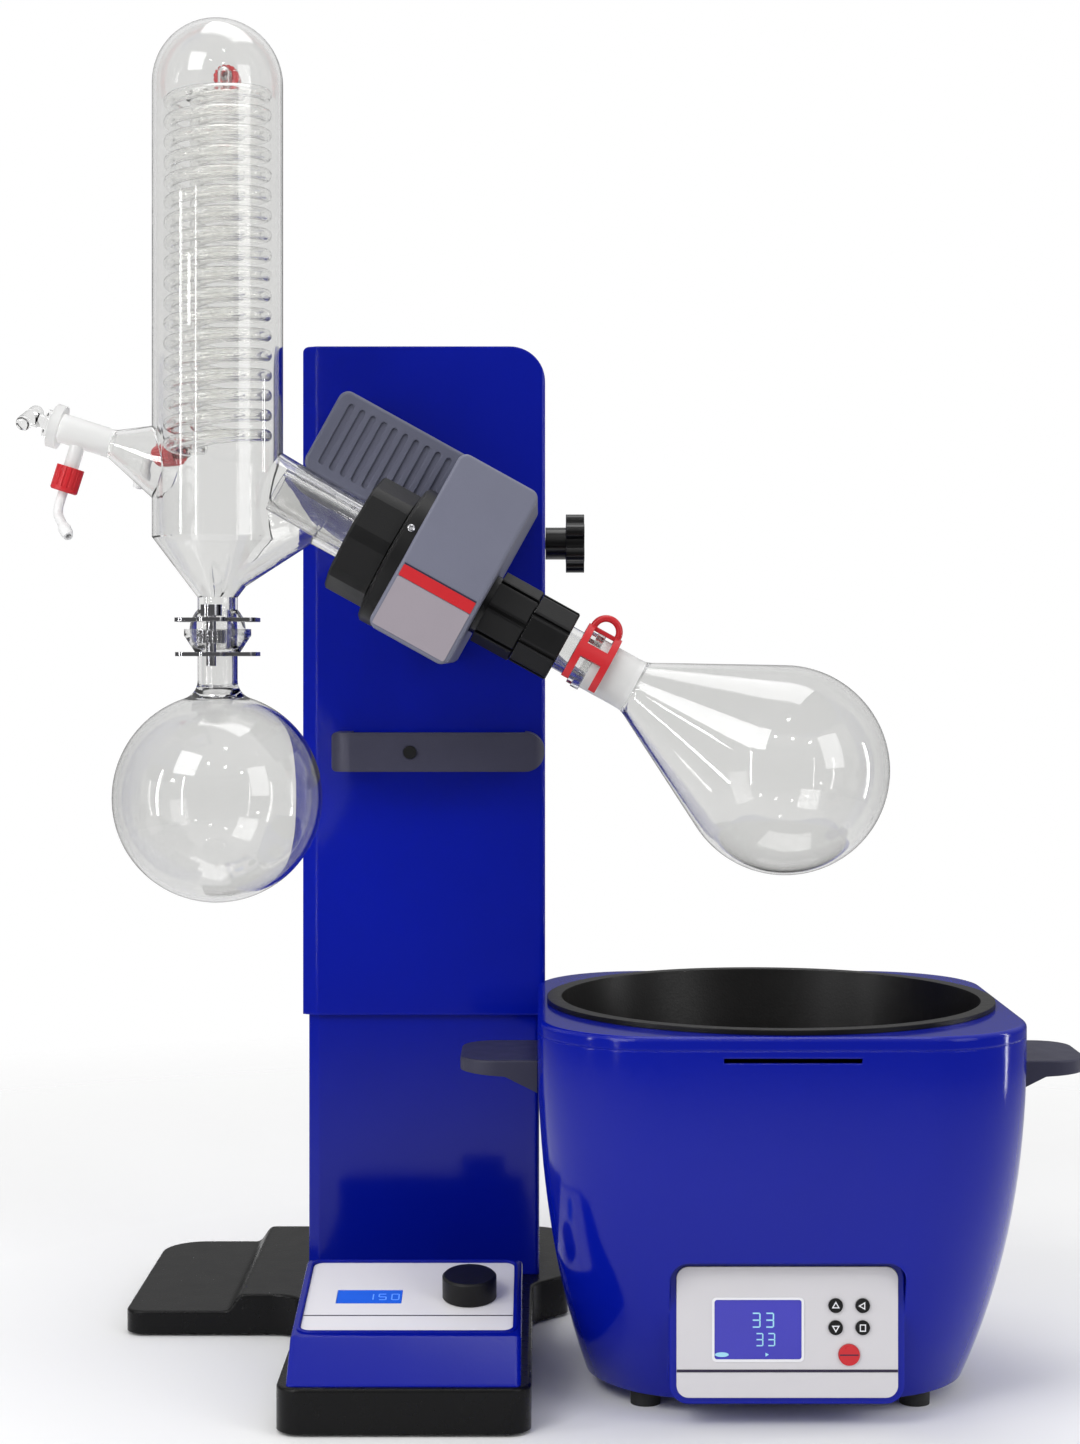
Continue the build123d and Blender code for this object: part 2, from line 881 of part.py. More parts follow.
def tilt_lock_stud():
    """Stud from the knob to just short of the pivot shaft."""
    start = pivot_x + pivot_radius + seat_gap - sleeve_right
    return lock_frame() * rod(stud_radius, start, seat_gap + lock_neck_length + lock_head / 2)


# Drive head


def drive_housing():
    """Belt case: open at the back, with a bored boss for each hub bearing and a hole for the motor shaft."""
    low = (housing_start, housing_front, housing_low)
    outer = block(low, (housing_end, housing_back, housing_high))
    outer = fillet(outer.edges().filter_by(Axis.Y), housing_corner)
    outer = fillet(outer.edges().group_by(Axis.Y)[0], housing_edge)
    inner = block([a + housing_wall for a in low],
                  (housing_end - housing_wall, housing_back + over, housing_high - housing_wall))
    turn = Rot(0, 90, 0)
    boss = bearing_radius + bearing_boss
    boss_one = rod(boss, housing_start + over, bearing_one + bearing_width)
    boss_two = rod(boss, bearing_two, housing_end - over)
    case = outer - inner + turn * boss_one + turn * boss_two - turn * rod(hub_radius + seat_gap, 0, reach)
    for start in (bearing_one, bearing_two):
        case = case - turn * rod(bearing_radius, start, start + bearing_width)
    shaft_hole = rod(shaft_radius + shaft_clear, 0, housing_start + housing_wall + over)
    return HEAD * (case - Pos(0, motor_y, motor_v) * turn * shaft_hole)


def motor_cover():
    """Ribbed cover over the motor, open towards the belt case."""
    low = (cover_start, cover_front, cover_low)
    outer = block(low, (housing_start, housing_back, cover_high))
    closed = housing_start - over
    outer = fillet([e for e in outer.edges().filter_by(Axis.Y) if e.center().X < closed], cover_corner)
    ends = outer.edges().group_by(Axis.Y)[0] + outer.edges().group_by(Axis.Y)[-1]
    outer = fillet([e for e in ends if e.center().X < closed], cover_edge)
    inner = block([a + cover_wall for a in low],
                  (housing_start + over, housing_back - cover_wall, cover_high - cover_wall))
    first = (cover_start + housing_start) / 2 - rib_pitch * (rib_count - 1) / 2
    length = cover_high - cover_low - 2 * rib_margin
    front_rib = extrude(Plane.XZ * SlotOverall(length, rib_width, rotation=90), rib_depth, both=True)
    top_rib = Box(rib_width, cover_depth - 2 * rib_margin, 2 * rib_depth)
    cover = outer - inner
    for i in range(rib_count):
        u = first + i * rib_pitch
        cover = cover - Pos(u, cover_front, motor_v) * front_rib - Pos(u, motor_y, cover_high) * top_rib
    return HEAD * cover


def pivot_flange():
    """Back plate of the belt case with the round seat of the pivot."""
    gap = housing_wall + slip_gap
    plate = block((housing_start + gap, housing_back - housing_wall, housing_low + gap),
                  (housing_end - gap, housing_back, housing_high - gap))
    disc = across(pivot_x, pivot_z, pivot_flange_radius, housing_back + glass_y, sleeve_front - seat_gap)
    bore = across(pivot_x, pivot_z, pivot_radius, housing_back + glass_y, sleeve_front)
    return HEAD * plate + (disc - bore)


def pivot_shaft():
    """Steel shaft that the head tilts on."""
    return across(pivot_x, pivot_z, pivot_radius, housing_back + glass_y, pivot_end)


def motor_line():
    """Frame on the motor's axis, with Z along the drive direction."""
    return HEAD * Pos(0, motor_y, motor_v) * Rot(0, 90, 0)


def drive_motor():
    """Motor body on the belt case's wall, bored for its shaft."""
    body = rod(motor_radius, housing_start - motor_length, housing_start)
    bore = rod(shaft_radius + running_gap, housing_start - shaft_depth - seat_gap, housing_start)
    return motor_line() * (body - bore)


def motor_pulley():
    """Small pulley with the motor shaft."""
    shaft = rod(shaft_radius, housing_start - shaft_depth, pulley_start)
    return motor_line() * (shaft + rod(motor_pulley_radius, pulley_start, pulley_start + pulley_width))


def belt_loop(growth):
    """Flat outline round both pulleys, larger than them by growth."""
    small = Pos(-motor_v, motor_y) * Circle(motor_pulley_radius + growth)
    return make_hull(small.edges() + Circle(driven_radius + growth).edges())


def drive_belt():
    """Flat belt round both pulleys."""
    ring = belt_loop(belt_gap + belt_thick) - belt_loop(belt_gap)
    start = pulley_start + (pulley_width - belt_width) / 2
    return DRIVE * Pos(0, 0, start) * extrude(ring, belt_width)


def hub_bearings():
    """Two bearings between the belt case and the hub."""
    bore = hub_radius + running_gap
    return Part() + [
        DRIVE * pipe(bearing_radius, bore, low, low + bearing_width) for low in (bearing_one, bearing_two)]


def rotor_hub():
    """Hollow shaft that the vapour tube passes through."""
    return DRIVE * pipe(hub_radius, hub_bore, hub_start, clamp_end - hub_sink)


def driven_pulley():
    """Large pulley on the hub."""
    return DRIVE * pipe(driven_radius, hub_radius, pulley_start, pulley_start + pulley_width)


def coupling_flange():
    """Fixed flange on the belt case with the spigot that carries the union nut."""
    disc = rod(flange_radius, flange_start, housing_start)
    disc = chamfer(disc.edges().group_by(Axis.Z)[0], flange_chamfer)
    spigot = rod(spigot_radius, spigot_start, housing_start)
    bore = rod(flange_bore, spigot_start, housing_start)
    seat = rod(spigot_bore, spigot_start, seal_end)
    return DRIVE * (disc + spigot - bore - seat)


def shaft_seal():
    """Sealing ring between the condenser's glass flange and the rotating vapour tube."""
    return DRIVE * pipe(spigot_bore - slip_gap, tube_radius + slip_gap, seal_start, seal_end)


def condenser_nut():
    """Faceted union nut that holds the condenser's glass flange."""
    body = faceted(nut_radius, nut_facets, 0, nut_length)
    body = chamfer(body.faces().sort_by(Axis.Z)[0].edges(), nut_chamfer)
    mouth = rod(nut_mouth, 0, nut_lip)
    room = rod(spigot_radius + 2 * slip_gap, nut_lip, nut_length)
    return DRIVE * (body - mouth - room)


def grip_nut(low, high, bore):
    """Faceted nut with a groove along each of its corners."""
    body = faceted(clamp_radius, clamp_facets, low, high)
    body = chamfer(body.faces().sort_by(Axis.Z)[-1].edges(), clamp_chamfer)
    groove = block((clamp_radius - grip_depth, -grip_width / 2, low), (reach, grip_width / 2, high))
    return body - around(clamp_facets, groove) - rod(bore, low, high)


def flask_clamp_nut():
    """Nut that clamps the vapour tube in the hub."""
    return DRIVE * grip_nut(clamp_start, clamp_end, hub_radius)


def ejector_collar():
    """Second nut, which pushes the flask off its joint when turned."""
    nut = grip_nut(clamp_end + seat_gap, collar_end, tube_radius + seat_gap)
    return DRIVE * Rot(0, 0, 180 / clamp_facets) * nut


def vapour_tube():
    """Glass tube with a retaining ring and a ground cone for the flask."""
    ring_end = joint_start - slip_gap
    bore = joint_small - tube_wall
    return DRIVE * turned([
        (bore, tube_start), (tube_radius, tube_start), (tube_radius, ring_end - ring_width),
        (ring_radius, ring_end - ring_width), (ring_radius, ring_end), (joint_big, ring_end),
        (joint_small, joint_end), (bore, joint_end)])


def evaporating_flask():
    """Pear-shaped glass flask with a ground neck."""
    lean = math.radians(flask_cone_angle)
    middle = lean / 2 - math.pi / 8
    inner = flask_radius - glass_wall

    def side(radius):
        return (radius * math.cos(lean), flask_centre - radius * math.sin(lean))

    def belly(radius):
        return (radius * math.cos(middle), flask_centre - radius * math.sin(middle))

    def throat(radius, small):
        r, u = side(radius)
        return (small, u - (r - small) / math.tan(lean))

    outer_throat = throat(flask_radius, neck_radius)
    mouth = joint_big + joint_gap
    narrow = joint_small + joint_gap
    inner_throat = throat(inner, narrow)
    lip_end = joint_start + lip_length
    face = make_face([
        Line((mouth, joint_start), (lip_radius, joint_start)),
        Line((lip_radius, joint_start), (lip_radius, lip_end)),
        Line((lip_radius, lip_end), (neck_radius, lip_end)), Line((neck_radius, lip_end), outer_throat),
        Line(outer_throat, side(flask_radius)),
        ThreePointArc(side(flask_radius), belly(flask_radius), (0, flask_centre + flask_radius)),
        Line((0, flask_centre + flask_radius), (0, flask_centre + inner)),
        ThreePointArc((0, flask_centre + inner), belly(inner), side(inner)),
        Line(side(inner), inner_throat), Line(inner_throat, (narrow, joint_end)),
        Line((narrow, joint_end), (mouth, joint_start))])
    face = fillet(near(face.vertices(), outer_throat), neck_blend)
    return DRIVE * revolve(Plane.XZ * face, Axis.Z)


def flask_clip():
    """Clip with two open rings, joined by straps, that keeps the flask on the tube."""
    room = lip_radius + seat_gap
    outer = room + clip_thick
    first = pipe(outer, tube_radius + seat_gap, clip_start, clip_start + clip_band)
    second = pipe(outer, neck_radius + seat_gap, clip_end - clip_band, clip_end)
    sleeve = pipe(outer, room, clip_start, clip_end)
    strap = block((-reach, -clip_band, clip_start), (0, clip_band, clip_end))
    straps = [sleeve & (Rot(0, 0, turn) * strap) for turn in (-clip_strap_angle, 0, clip_strap_angle)]
    middle = (clip_start + clip_end) / 2
    ear = Location((-outer, 0, middle), (90, 0, 0)) * Torus(clip_ear, clip_wire)
    ear = ear - rod(room, clip_start, clip_end)
    gap = block((0, -clip_opening / 2, clip_start), (reach, clip_opening / 2, clip_end))
    return DRIVE * (first + second + straps + ear - gap)


# Condenser


def arm_loft(shrink, neck):
    """Solid from an upright ellipse in the jacket to the round neck of the side arm."""
    upright = Plane(origin=(condenser_x, glass_y, arm_z), x_dir=(0, 1, 0), z_dir=(1, 0, 0))
    oval = upright * Ellipse(arm_half_width - shrink, arm_half_height - shrink)
    return loft([oval, DRIVE * Pos(0, 0, arm_neck_start) * Circle(neck)], ruled=True)


def port_frames():
    """Frames of the coolant ports on the jacket, with Z pointing out from the condenser's axis."""
    frames = []
    for height, angle in ((upper_port_z, upper_port_angle), (coil_low, lower_port_angle)):
        out = (math.cos(math.radians(angle)), math.sin(math.radians(angle)), 0)
        frames.append(Plane(origin=(condenser_x, glass_y, height), x_dir=(0, 0, -1), z_dir=out).location)
    return frames


def valve_frame():
    """Frame of the inlet valve, with Z along its barrel and pointing away from the jacket."""
    lean = math.radians(valve_angle)
    out = (-math.cos(lean), 0, math.sin(lean))
    up = (math.sin(lean), 0, math.cos(lean))
    return Plane(origin=(condenser_x, glass_y, valve_z), x_dir=up, z_dir=out).location


def valve_port_frame():
    """Frame of the valve's hose port, with Z pointing down from the barrel and X towards the jacket."""
    return valve_frame() * Pos(0, 0, valve_port_at) * Rot(0, -90, 0) * Rot(0, 0, 180)


def jacket_body(inset, outlet, neck, flare, barrel):
    """The jacket with its dome, side arm, outlet and inlet barrel, drawn in by inset."""
    radius = jacket_radius - inset
    cone = outlet_radius - inset
    body = turned([
        (0, outlet_z), (cone, outlet_z), (radius, jacket_low), (radius, jacket_high), (0, jacket_high)])
    body = CONDENSER * (body + rod(outlet, ball_z, outlet_z))
    body = body + CONDENSER * Pos(0, 0, jacket_high) * Sphere(radius)
    body = body + arm_loft(inset, neck) + DRIVE * rod(neck, arm_neck_start, glass_flange_end)
    funnel = turned([(0, flare_start), (flare, flare_start), (barrel, flare_end), (0, flare_end)])
    return body + valve_frame() * (funnel + rod(barrel, flare_end, barrel_end + barrel_ring / 2))


def condenser_jacket():
    """Glass jacket with its dome, side arm, outlet ball, inlet barrel and coolant ports."""
    ball = Sphere(ball_radius) & rod(ball_radius, -ball_cut, ball_radius)
    ring = rod(barrel_ring_radius, barrel_end - barrel_ring / 2, barrel_end + barrel_ring / 2)
    body = jacket_body(0, outlet_radius, arm_neck_radius, flare_radius, barrel_radius)
    body = body + DRIVE * rod(glass_flange_radius, glass_flange_start, glass_flange_end)
    body = body + CONDENSER * Pos(0, 0, ball_z) * ball + valve_frame() * ring
    body = body + valve_port_frame() * rod(port_radius, 0, valve_port_end)
    thin = flare_radius - jacket_wall
    hollow = jacket_body(jacket_wall, ball_bore, arm_neck_bore, thin, barrel_bore)
    hollow = hollow + CONDENSER * rod(ball_bore, ball_z - ball_radius, ball_z)
    hollow = hollow + valve_frame() * rod(thin, 0, flare_start)
    hollow = hollow + valve_port_frame() * rod(port_bore, 0, valve_port_end)
    glass = body - hollow
    start = coil_radius + coil_tube + seat_gap
    for frame in port_frames():
        glass = glass + frame * rod(port_radius, start, port_reach) - frame * rod(port_bore, start, port_reach)
    return glass


def winding(radius, tube, bore):
    """Hollow tube along a helix."""
    path = Helix(coil_pitch, coil_height, radius)
    start = Plane(origin=path @ 0, z_dir=path % 0)
    return sweep(start * Circle(tube) - start * Circle(bore), path, is_frenet=True)


def coil_riser():
    """Hollow tube from the top turn up to the upper port; z = 0 is the coil's lower end and X points out."""
    before_end = (lower_port_angle - upper_port_angle) % 360 / 360
    low = coil_height - before_end * coil_pitch + coil_tube + 2 * slip_gap
    elbow = Pos(0, 0, coil_height + port_rise)
    outside = rod(coil_tube, low, coil_height + port_rise) + elbow * Sphere(coil_tube)
    inside = rod(coil_bore, low, coil_height + port_rise) + elbow * Sphere(coil_bore)
    return Pos(coil_radius, 0, 0) * (outside - inside - elbow * Rot(0, 90, 0) * rod(coil_bore, 0, reach))


def condenser_coil():
    """Double cooling coil with a short link between its two windings and a riser to the upper port."""
    outer = winding(coil_radius, coil_tube, coil_bore)
    inner = winding(inner_coil_radius, inner_coil_tube, inner_coil_bore)
    start = inner_coil_radius + inner_coil_tube + slip_gap
    end = coil_radius - coil_tube - slip_gap
    link = Rot(0, 90, 0) * rod(link_radius, start, end)
    low = CONDENSER * Location((0, 0, coil_low), (0, 0, lower_port_angle))
    riser = Rot(0, 0, upper_port_angle - lower_port_angle) * coil_riser()
    return Part() + [low * piece for piece in (outer, inner, link, riser)]


def hose_cap():
    """Screw cap that covers a port's end and holds a nozzle; z = 0 is the port's end."""
    top = cap_length - cap_cover
    cap = rod(cap_radius, -cap_cover, top)
    cap = chamfer(cap.edges().group_by(Axis.Z)[-1], cap_chamfer)
    groove = Pos(cap_radius + groove_lift, 0, 0) * rod(groove_radius, -cap_cover, top - cap_wall)
    room = rod(port_radius + slip_gap, -cap_cover, top - cap_wall)
    return cap - around(cap_grooves, groove) - room - rod(nozzle_radius + slip_gap, 0, cap_length)


def nozzle_end():
    """Frame where the nozzle's straight tail starts after its bend."""
    turn = math.radians(nozzle_angle)
    shift = nozzle_bend_radius * (1 - math.cos(turn))
    rise = nozzle_bend_radius * math.sin(turn)
    return Location((shift, 0, cap_length - cap_cover + nozzle_straight + rise), (0, nozzle_angle, 0))


def nozzle_run(radius):
    """Straight stem, elbow and tail of the nozzle at one radius; the bend goes towards +X."""
    top = cap_length - cap_cover + nozzle_straight
    bend_axis = Axis((nozzle_bend_radius, 0, top), (0, 1, 0))
    elbow = revolve(Pos(0, 0, top) * Circle(radius), bend_axis, nozzle_angle)
    return rod(radius, slip_gap, top) + elbow + nozzle_end() * rod(radius, 0, nozzle_tail)


def hose_nozzle():
    """Bent hose nozzle with a barbed end; z = 0 is the port's end."""
    flange = rod(nozzle_flange, slip_gap, cap_length - cap_cover - cap_wall - slip_gap)
    barb = turned([
        (0, nozzle_tail - 3 * barb_land), (nozzle_radius, nozzle_tail - 3 * barb_land),
        (barb_radius, nozzle_tail - 2 * barb_land), (barb_radius, nozzle_tail - barb_land),
        (nozzle_radius, nozzle_tail), (0, nozzle_tail)])
    return nozzle_run(nozzle_radius) + flange + nozzle_end() * barb - nozzle_run(nozzle_bore)


def hose_ends():
    """Frames at the ends of the two coolant ports and of the valve's port."""
    ends = [frame * Pos(0, 0, port_reach) for frame in port_frames()]
    return ends + [valve_port_frame() * Location((0, 0, valve_port_end), (0, 0, feed_turn))]


def hose_caps():
    """Three red caps."""
    return Part() + [end * hose_cap() for end in hose_ends()]


def hose_nozzles():
    """Three white nozzles."""
    return Part() + [end * hose_nozzle() for end in hose_ends()]


def valve_key():
    """Glass key in the inlet barrel with a cross handle."""
    plug_end = barrel_end + barrel_ring / 2 + seat_gap
    plug = rod(barrel_bore - key_gap, key_inner, plug_end)
    head = rod(key_shoulder, plug_end, plug_end + key_head) + rod(key_neck, plug_end, key_bar_at)
    bar = Location((0, 0, key_bar_at), (0, 90, 0)) * Cylinder(key_bar_radius, 2 * key_bar_half)
    ends = [Pos(side * key_bar_half, 0, key_bar_at) * Sphere(key_bar_radius) for side in (-1, 1)]
    return valve_frame() * Rot(0, 0, key_angle) * (plug + head + bar + ends)


# Ball joint clamp and receiving flask


def fork_plate(low, opening):
    """Flat fork round the joint, open to the back, with a tongue for the clamp screw in front."""
    plate = rounded([
        (-fork_half, -opening, fork_corner), (fork_half, -opening, fork_corner),
        (fork_half, fork_back, fork_tip), (-fork_half, fork_back, fork_tip)])
    tongue = rounded([
        (-fork_tongue, -fork_front, fork_nose), (fork_tongue, -fork_front, fork_nose),
        (fork_tongue, 0, 0), (-fork_tongue, 0, 0)])
    mouth = Circle(opening) + Pos(0, fork_back) * Rectangle(2 * opening, 2 * fork_back)
    hole = Pos(0, -clamp_screw_y) * Circle(clamp_screw_radius + slip_gap)
    return CONDENSER * Pos(0, 0, low) * extrude(plate + tongue - mouth - hole, fork_thick)


def clamp_forks():
    """Upper and lower fork of the ball-joint clamp."""
    above = math.sqrt(ball_radius ** 2 - fork_rise ** 2) + seat_gap
    wall = (cup_radius - receiver_neck) / (cup_depth - cup_rim)
    below = receiver_neck + wall * (cup_depth - fork_drop + fork_thick) + seat_gap
    return fork_plate(fork_upper_z, above) + fork_plate(fork_lower_z, below)


def clamp_screw():
    """Screw with a toothed ring between the forks."""
    middle = (fork_upper_z + fork_lower_z + fork_thick) / 2
    high = ball_z + clamp_screw_rise
    shank = rod(clamp_screw_radius, ball_z - clamp_screw_drop, high)
    ring = rod(knurl_radius, middle - knurl_height / 2, middle + knurl_height / 2)
    notch = Pos(knurl_radius + knurl_lift, 0, middle) * Cylinder(knurl_notch, knurl_height)
    head = rod(clamp_screw_radius + clamp_head_lip, high - clamp_head, high)
    return CONDENSER * Pos(0, -clamp_screw_y, 0) * (shank + (ring - around(knurl_teeth, notch)) + head)


def receiving_flask():
    """Round glass flask with the cup of the ball joint on its neck."""
    inner = receiver_radius - glass_wall
    bore = receiver_neck - glass_wall
    cup = ball_radius + seat_gap
    rim = ball_z - cup_rim
    bottom = receiver_z - receiver_radius
    shoulder = receiver_z + math.sqrt(receiver_radius ** 2 - receiver_neck ** 2)
    inner_shoulder = receiver_z + math.sqrt(inner ** 2 - bore ** 2)
    cup_low = ball_z - math.sqrt(cup ** 2 - bore ** 2)
    half = math.asin(bore / cup) / 2 + math.pi / 4
    face = make_face([
        Line((cup, ball_z), (cup_radius, ball_z)), Line((cup_radius, ball_z), (cup_radius, rim)),
        Line((cup_radius, rim), (receiver_neck, cup_neck_z)),
        Line((receiver_neck, cup_neck_z), (receiver_neck, shoulder)),
        ThreePointArc((receiver_neck, shoulder), (receiver_radius, receiver_z), (0, bottom)),
        Line((0, bottom), (0, bottom + glass_wall)),
        ThreePointArc((0, bottom + glass_wall), (inner, receiver_z), (bore, inner_shoulder)),
        Line((bore, inner_shoulder), (bore, cup_low)),
        ThreePointArc((bore, cup_low), (cup * math.sin(half), ball_z - cup * math.cos(half)), (cup, ball_z))])
    face = fillet(near(face.vertices(), (receiver_neck, shoulder)), receiver_blend)
    return CONDENSER * revolve(Plane.XZ * face, Axis.Z)


# Heating bath


def bath_section(height, inset):
    """Plan of the bath's body at a height, drawn in by inset."""
    share = 1 - ((bath_seam - height) / (bath_seam - bath_floor)) ** bath_bulge_power
    width = bath_foot_width + share * (bath_width - bath_foot_width) - 2 * inset
    depth = bath_foot_depth + share * (bath_depth - bath_foot_depth) - 2 * inset
    return Pos(0, 0, height) * RectangleRounded(width, depth, bath_corner - inset)


def bath_body(inset):
    """Body of the bath between its floor and its seam, drawn in by inset."""
    heights = [bath_floor + i * (bath_seam - bath_floor) / (bath_sections - 1) for i in range(bath_sections)]
    return loft([bath_section(height, inset) for height in heights])


def pad_block(grow, front, back):
    """Block behind the bath's fascia, larger than the fascia by grow, with rounded corners."""
    outline = RectangleRounded(fascia_width + 2 * grow, fascia_height + 2 * grow, fascia_corner + grow)
    return extrude(Plane.XZ.offset(-back) * Pos(fascia_x, fascia_z) * outline, back - front)


def key_spots():
    """Places of the four keys on the fascia, named by row and column."""
    return {
        f"{row}_{column}": (x, z)
        for row, z in zip(("upper", "lower"), key_rows)
        for column, x in zip(("left", "right"), key_columns)}


def front_cuts():
    """Holes through the fascia and the pad for the display, the keys and the switch."""
    rounds = [(x, z, key_radius) for x, z in key_spots().values()] + [(switch_x, switch_z, switch_radius)]
    start = pad_front - fascia_bore
    holes = [across(x, z, radius + running_gap, start, pad_front + fascia_bore) for x, z, radius in rounds]
    window = Box(bath_display_width, 2 * fascia_bore, bath_display_height)
    return holes + [Pos(bath_display_x, pad_front, bath_display_z) * window]


def bath_shell():
    """Painted body with a floor, a flat front pad and a narrow slot under the rim."""
    inner = bath_body(bath_wall) - block((-reach, -reach, 0), (reach, reach, bath_floor + bath_wall))
    inlet_half = inlet_width / 2 + bath_inlet_side
    inlet_rise = inlet_height / 2 + bath_inlet_rise
    rear_pad = block((-inlet_half, 0, bath_inlet_z - inlet_rise),
                     (inlet_half, bath_inlet_y, bath_inlet_z + inlet_rise))
    body = bath_body(0) + pad_block(pad_margin, pad_front, pad_back) - pad_block(pad_margin, -reach, pad_front)
    body = body + rear_pad
    room = pad_block(pad_margin - bath_wall, pad_front + bath_wall, pad_back + 2 * bath_wall)
    skin = pad_block(pad_margin, pad_front, pad_front + bath_wall)
    shell = body - (inner - pad_block(pad_margin, -reach, pad_front + bath_wall)) - room + (skin & body)
    slot = Pos(0, -bath_depth / 2, bath_seam - 2 * slot_height) * Box(slot_width, 8 * bath_wall, slot_height)
    inlet = Pos(0, bath_inlet_y, bath_inlet_z) * Box(
        inlet_width + 2 * slip_gap, 3 * inlet_depth, inlet_height + 2 * slip_gap)
    return BATH * (shell - slot - front_cuts() - inlet)


def bath_rim():
    """Painted ring on the body with a round hole for the bowl."""
    ring = extrude(RectangleRounded(bath_width, bath_depth, bath_corner), bath_top - bath_seam)
    ring = fillet(ring.edges().group_by(Axis.Z)[-1], rim_edge)
    return BATH * Pos(0, 0, bath_seam) * (ring - rod(rim_hole, 0, bath_top))


def bath_bowl():
    """Coated bowl hanging by its rim."""
    outer_base = bowl_base + bowl_wall
    low = bowl_floor - bowl_wall
    top = bath_top + bowl_rim_thick
    face = make_face(Polyline(
        (0, low), (outer_base, low), (bowl_mouth + bowl_wall, bath_top), (bowl_rim, bath_top), (bowl_rim, top),
        (bowl_mouth, top), (bowl_base, bowl_floor), (0, bowl_floor), close=True))
    face = fillet(near(face.vertices(), (bowl_base, bowl_floor)), bowl_blend)
    face = fillet(near(face.vertices(), (outer_base, low)), bowl_blend + bowl_wall)
    return BATH * revolve(Plane.XZ * face, Axis.Z)


def bath_heater():
    """Heating disc under the bowl."""
    high = bowl_floor - bowl_wall - seat_gap
    return BATH * rod(heater_radius, high - heater_thick, high)


def bath_feet():
    """Four small feet."""
    foot = rod(bath_foot_radius, 0, bath_floor)
    return Part() + [BATH * Pos(i * bath_foot_x, j * bath_foot_y, 0) * foot for i in (-1, 1) for j in (-1, 1)]


def bath_handle():
    """Ear on the right side: a flat plate with a deeper root and soft edges."""
    start = bath_width / 2 + slip_gap
    tip = start + bath_handle_reach
    top = bath_handle_top
    low = top - bath_handle_tip
    profile = [
        (start, top), (tip, top), (tip, low), (start + bath_handle_root, low - bath_handle_step),
        (start, top - bath_handle_root)]
    bar = extrude(Plane.XZ * make_face(Polyline(*profile, close=True)), bath_handle_depth / 2, both=True)
    bar = fillet([e for e in bar.edges().filter_by(Axis.Z) if e.center().X > tip - over], bath_handle_corner)
    top_edges = bar.faces().sort_by(Axis.Z)[-1].edges()
    return fillet([e for e in top_edges if e.center().X > start + over], bath_handle_edge)


def bath_handles():
    """The two ears, left and right."""
    ear = bath_handle()
    return Part() + [BATH * ear, BATH * Rot(0, 0, 180) * ear]


def bath_panel():
    """White fascia on the pad with holes for the display, the keys and the switch."""
    return BATH * (pad_block(0, fascia_front, pad_front) - front_cuts())


def bath_display():
    """Display module in the fascia."""
    half = bath_display_width / 2 - slip_gap
    rise = bath_display_height / 2 - slip_gap
    front = fascia_front + display_drop
    body = block((-half, front, -rise), (half, front + bath_display_thick, rise))
    return BATH * Pos(bath_display_x, 0, bath_display_z) * body


def bath_key(x, z):
    """Round push key."""
    front = fascia_front - key_proud
    return BATH * across(x, z, key_radius, front, front + key_length)


def bath_switch():
    """Round heat switch."""
    front = fascia_front - switch_proud
    return BATH * across(switch_x, switch_z, switch_radius, front, front + switch_length)


def bath_inlet():
    """Inlet low on the bath's back."""
    return BATH * Pos(0, bath_inlet_y, bath_inlet_z) * power_socket()


nodes = {
    "base_casting": base_casting(),
    "base_feet": base_feet(),
    "console_shell": console_shell(),
    "console_panel": console_panel(),
    "speed_display": speed_display(),
    "control_board": control_board(),
    "speed_knob": speed_knob(),
    "inner_column": inner_column(),
    "guide_rods": guide_rods(),
    "gas_spring_cylinder": gas_spring_cylinder(),
    "power_inlet": power_inlet(),
    "lift_sleeve": lift_sleeve(),
    "carriage_block": carriage_block(),
    "slide_bushings": slide_bushings(),
    "gas_spring_rod": gas_spring_rod(),
    "lift_handle": lift_handle(),
    "release_button": release_button(),
    "tilt_lock_knob": tilt_lock_knob(),
    "tilt_lock_stud": tilt_lock_stud(),
    "drive_housing": drive_housing(),
    "motor_cover": motor_cover(),
    "pivot_flange": pivot_flange(),
    "pivot_shaft": pivot_shaft(),
    "drive_motor": drive_motor(),
    "motor_pulley": motor_pulley(),
    "drive_belt": drive_belt(),
    "hub_bearings": hub_bearings(),
    "rotor_hub": rotor_hub(),
    "driven_pulley": driven_pulley(),
    "coupling_flange": coupling_flange(),
    "shaft_seal": shaft_seal(),
    "condenser_nut": condenser_nut(),
    "flask_clamp_nut": flask_clamp_nut(),
    "ejector_collar": ejector_collar(),
    "vapour_tube": vapour_tube(),
    "evaporating_flask": evaporating_flask(),
    "flask_clip": flask_clip(),
    "condenser_jacket": condenser_jacket(),
    "condenser_coil": condenser_coil(),
    "hose_caps": hose_caps(),
    "hose_nozzles": hose_nozzles(),
    "valve_key": valve_key(),
    "clamp_forks": clamp_forks(),
    "clamp_screw": clamp_screw(),
    "receiving_flask": receiving_flask(),
    "bath_shell": bath_shell(),
    "bath_rim": bath_rim(),
    "bath_bowl": bath_bowl(),
    "bath_heater": bath_heater(),
    "bath_feet": bath_feet(),
    "bath_handles": bath_handles(),
    "bath_panel": bath_panel(),
    "bath_display": bath_display(),
    "bath_switch": bath_switch(),
    "bath_inlet": bath_inlet(),
}
for place, (x, z) in key_spots().items():
    nodes[f"key_{place}"] = bath_key(x, z)

for name, shape in nodes.items():
    export_step(shape, f"parts/{name}.step")
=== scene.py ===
import math
import bpy
import bmesh
from mathutils import Matrix, Vector


